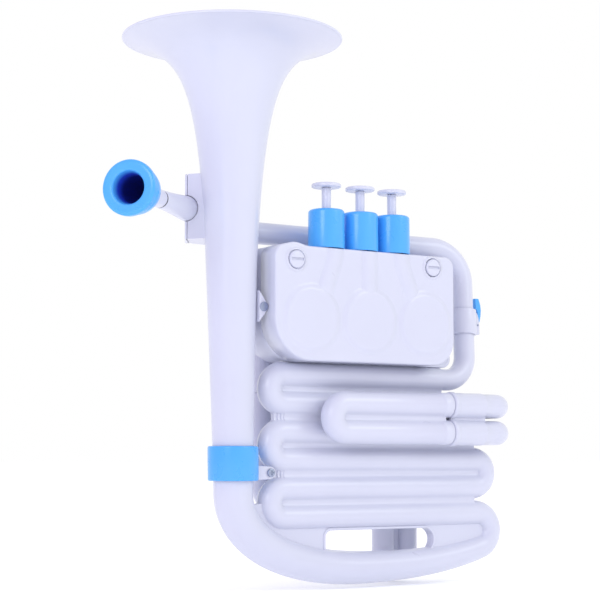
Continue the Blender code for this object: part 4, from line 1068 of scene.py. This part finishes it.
def make_lugs():
    """Tabs that tie the bell tube to the block and to the tubing, with a pin and a screw."""
    outline = soften(UPPER_LUG, [0.0, 4.0, 0.0], closed=True, steps=10)
    tab = rounded_slab("bell_lug_upper_skin", outline, *UPPER_LUG_Y, 0.7)
    finish(tab, "horn", WHITE, ["bell_lug_upper"])
    x, z = UPPER_LUG_PIN
    pin = [(0, 0.0), (UPPER_PIN_R, 0.0), (UPPER_PIN_R, 8.0), (0, 8.0)]
    start = (x, UPPER_LUG_Y[1] + 0.6, z)
    turned("bell_lug_pin", "horn", PIN, pin, [0, 0.4, 0.9, 0], 48, start, (0, -1, 0), 5)
    x, z = LOWER_SCREW
    left = 18.2
    outline = arc(x, z, LOWER_LUG_R, -75.0, 75.0, 20) + [(left, z + 5.2), (left, z - 5.2)]
    tab = rounded_slab("bell_lug_lower_skin", outline, *LOWER_LUG_Y, 0.6)
    finish(tab, "horn", WHITE, ["bell_lug_lower"])
    front = LOWER_LUG_Y[0] - 0.2
    head = soften([(0, 0.0), (3.1, 0.0), (3.1, 1.6), (0, 1.9)], [0, 0.2, 0.6, 0], steps=5)
    screw = lathe("bell_lug_screw_skin", head, 48, (x, front, z), (0, -1, 0))
    cross = []
    for bar in (box(x, z, 1.9, 0.35), box(x, z, 0.35, 1.9)):
        cross.append(flat_solid("cross", bar, front - 3.4, front - 1.0))
    combined(screw, cross, "DIFFERENCE")
    finish(screw, "horn", PIN, ["bell_lug_screw"], 40.0)


# ---- frame nodes that stay


def dress_frame_nodes():
    """The nodes that stay get a finish, and the two in sight get rounded edges."""
    finishes = {"water_key_lever": BLUE, "water_key_cork": CORK, "water_key_pin": PIN}
    for name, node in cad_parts.items():
        if node.hide_render:
            continue
        given = SPRING if name.startswith("valve_spring") else finishes.get(name, INNER)
        node.data.materials.clear()
        node.data.materials.append(given)
        if name in ("water_key_lever", "water_key_pin"):
            weld = node.modifiers.new("weld", "WELD")
            weld.merge_threshold = 0.01 * MM
            bevelled(node, 0.45, 35.0)


# ---- studio


def make_floor():
    """A wide disc of white paper just under the horn, which glows a little."""
    low = min(cad_bounds[0].z, 0.0) - FLOOR_DROP
    points = [(0.0, 0.0, low)]
    for k in range(1, FLOOR_RINGS + 1):
        reach = FLOOR_R * k / FLOOR_RINGS
        points += [(x, y, low) for x, y in arc(0.0, 0.0, reach, 0.0, 360.0, FLOOR_SIDES)[:-1]]
    faces = [(0, 1 + j, 1 + (j + 1) % FLOOR_SIDES) for j in range(FLOOR_SIDES)]
    for k in range(FLOOR_RINGS - 1):
        here, there = 1 + k * FLOOR_SIDES, 1 + (k + 1) * FLOOR_SIDES
        for j in range(FLOOR_SIDES):
            after = (j + 1) % FLOOR_SIDES
            faces.append((here + j, there + j, there + after, here + after))
    mesh = bpy.data.meshes.new("floor")
    mesh.from_pydata(points, [], faces)
    paper, tree, shader, place = node_material("paper")
    shader["Roughness"].default_value = 0.9
    shader["Specular IOR Level"].default_value = 0.1
    shader["Emission Color"].default_value = (1.0, 1.0, 1.0, 1.0)
    shader["Emission Strength"].default_value = PAPER_GLOW
    fibres = textured(tree, place.node.outputs["Generated"], NOISE, Scale=3.0)
    ramped(tree, fibres, shader["Base Color"], *PAPER_TONES)
    mesh.materials.append(paper)
    in_scene("floor", mesh)


def make_world():
    """White walls, dimmer and more violet on one side."""
    world = bpy.data.worlds.new("studio")
    bpy.context.scene.world = world
    world.use_nodes = True
    tree = world.node_tree
    place = tree.nodes.new("ShaderNodeTexCoord").outputs["Generated"]
    aside = vector_math(tree, "DOT_PRODUCT", place, SHADE_FROM)
    wall = tree.nodes["Background"].inputs
    ramped(tree, aside.outputs["Value"], wall["Color"], *WALL_TONES, blend="EASE")
    wall["Strength"].default_value = 1.0


def make_lights():
    for name, place, aim, size, power, colour in LIGHTS:
        light = bpy.data.lights.new(name, "AREA")
        light.shape = "DISK"
        light.size = size
        light.energy = power
        light.color = colour
        lamp = in_scene(name, light)
        lamp.location = place
        lamp.rotation_euler = (Vector(aim) - Vector(place)).to_track_quat("-Z", "Y").to_euler()


def make_camera():
    camera = bpy.data.cameras.new("camera")
    camera.sensor_width = 36.0
    camera.lens = CAMERA_LENS
    camera.clip_start, camera.clip_end = 0.05, 120.0
    eye = in_scene("camera", camera)
    eye.location = CAMERA_PLACE
    eye.rotation_euler = (math.pi / 2 + CAMERA_TILT, 0.0, CAMERA_TURN)
    bpy.context.scene.camera = eye
    bpy.context.scene.view_settings.view_transform = "Standard"


make_bell()
make_body()
make_upper_tube()
make_tuning()
make_back_slides()
make_cover()
make_housing()
make_screws()
make_keys()
make_junction()
make_mouth_side()
make_key_collar()
make_lugs()
dress_frame_nodes()
make_floor()
make_world()
make_lights()
make_camera()
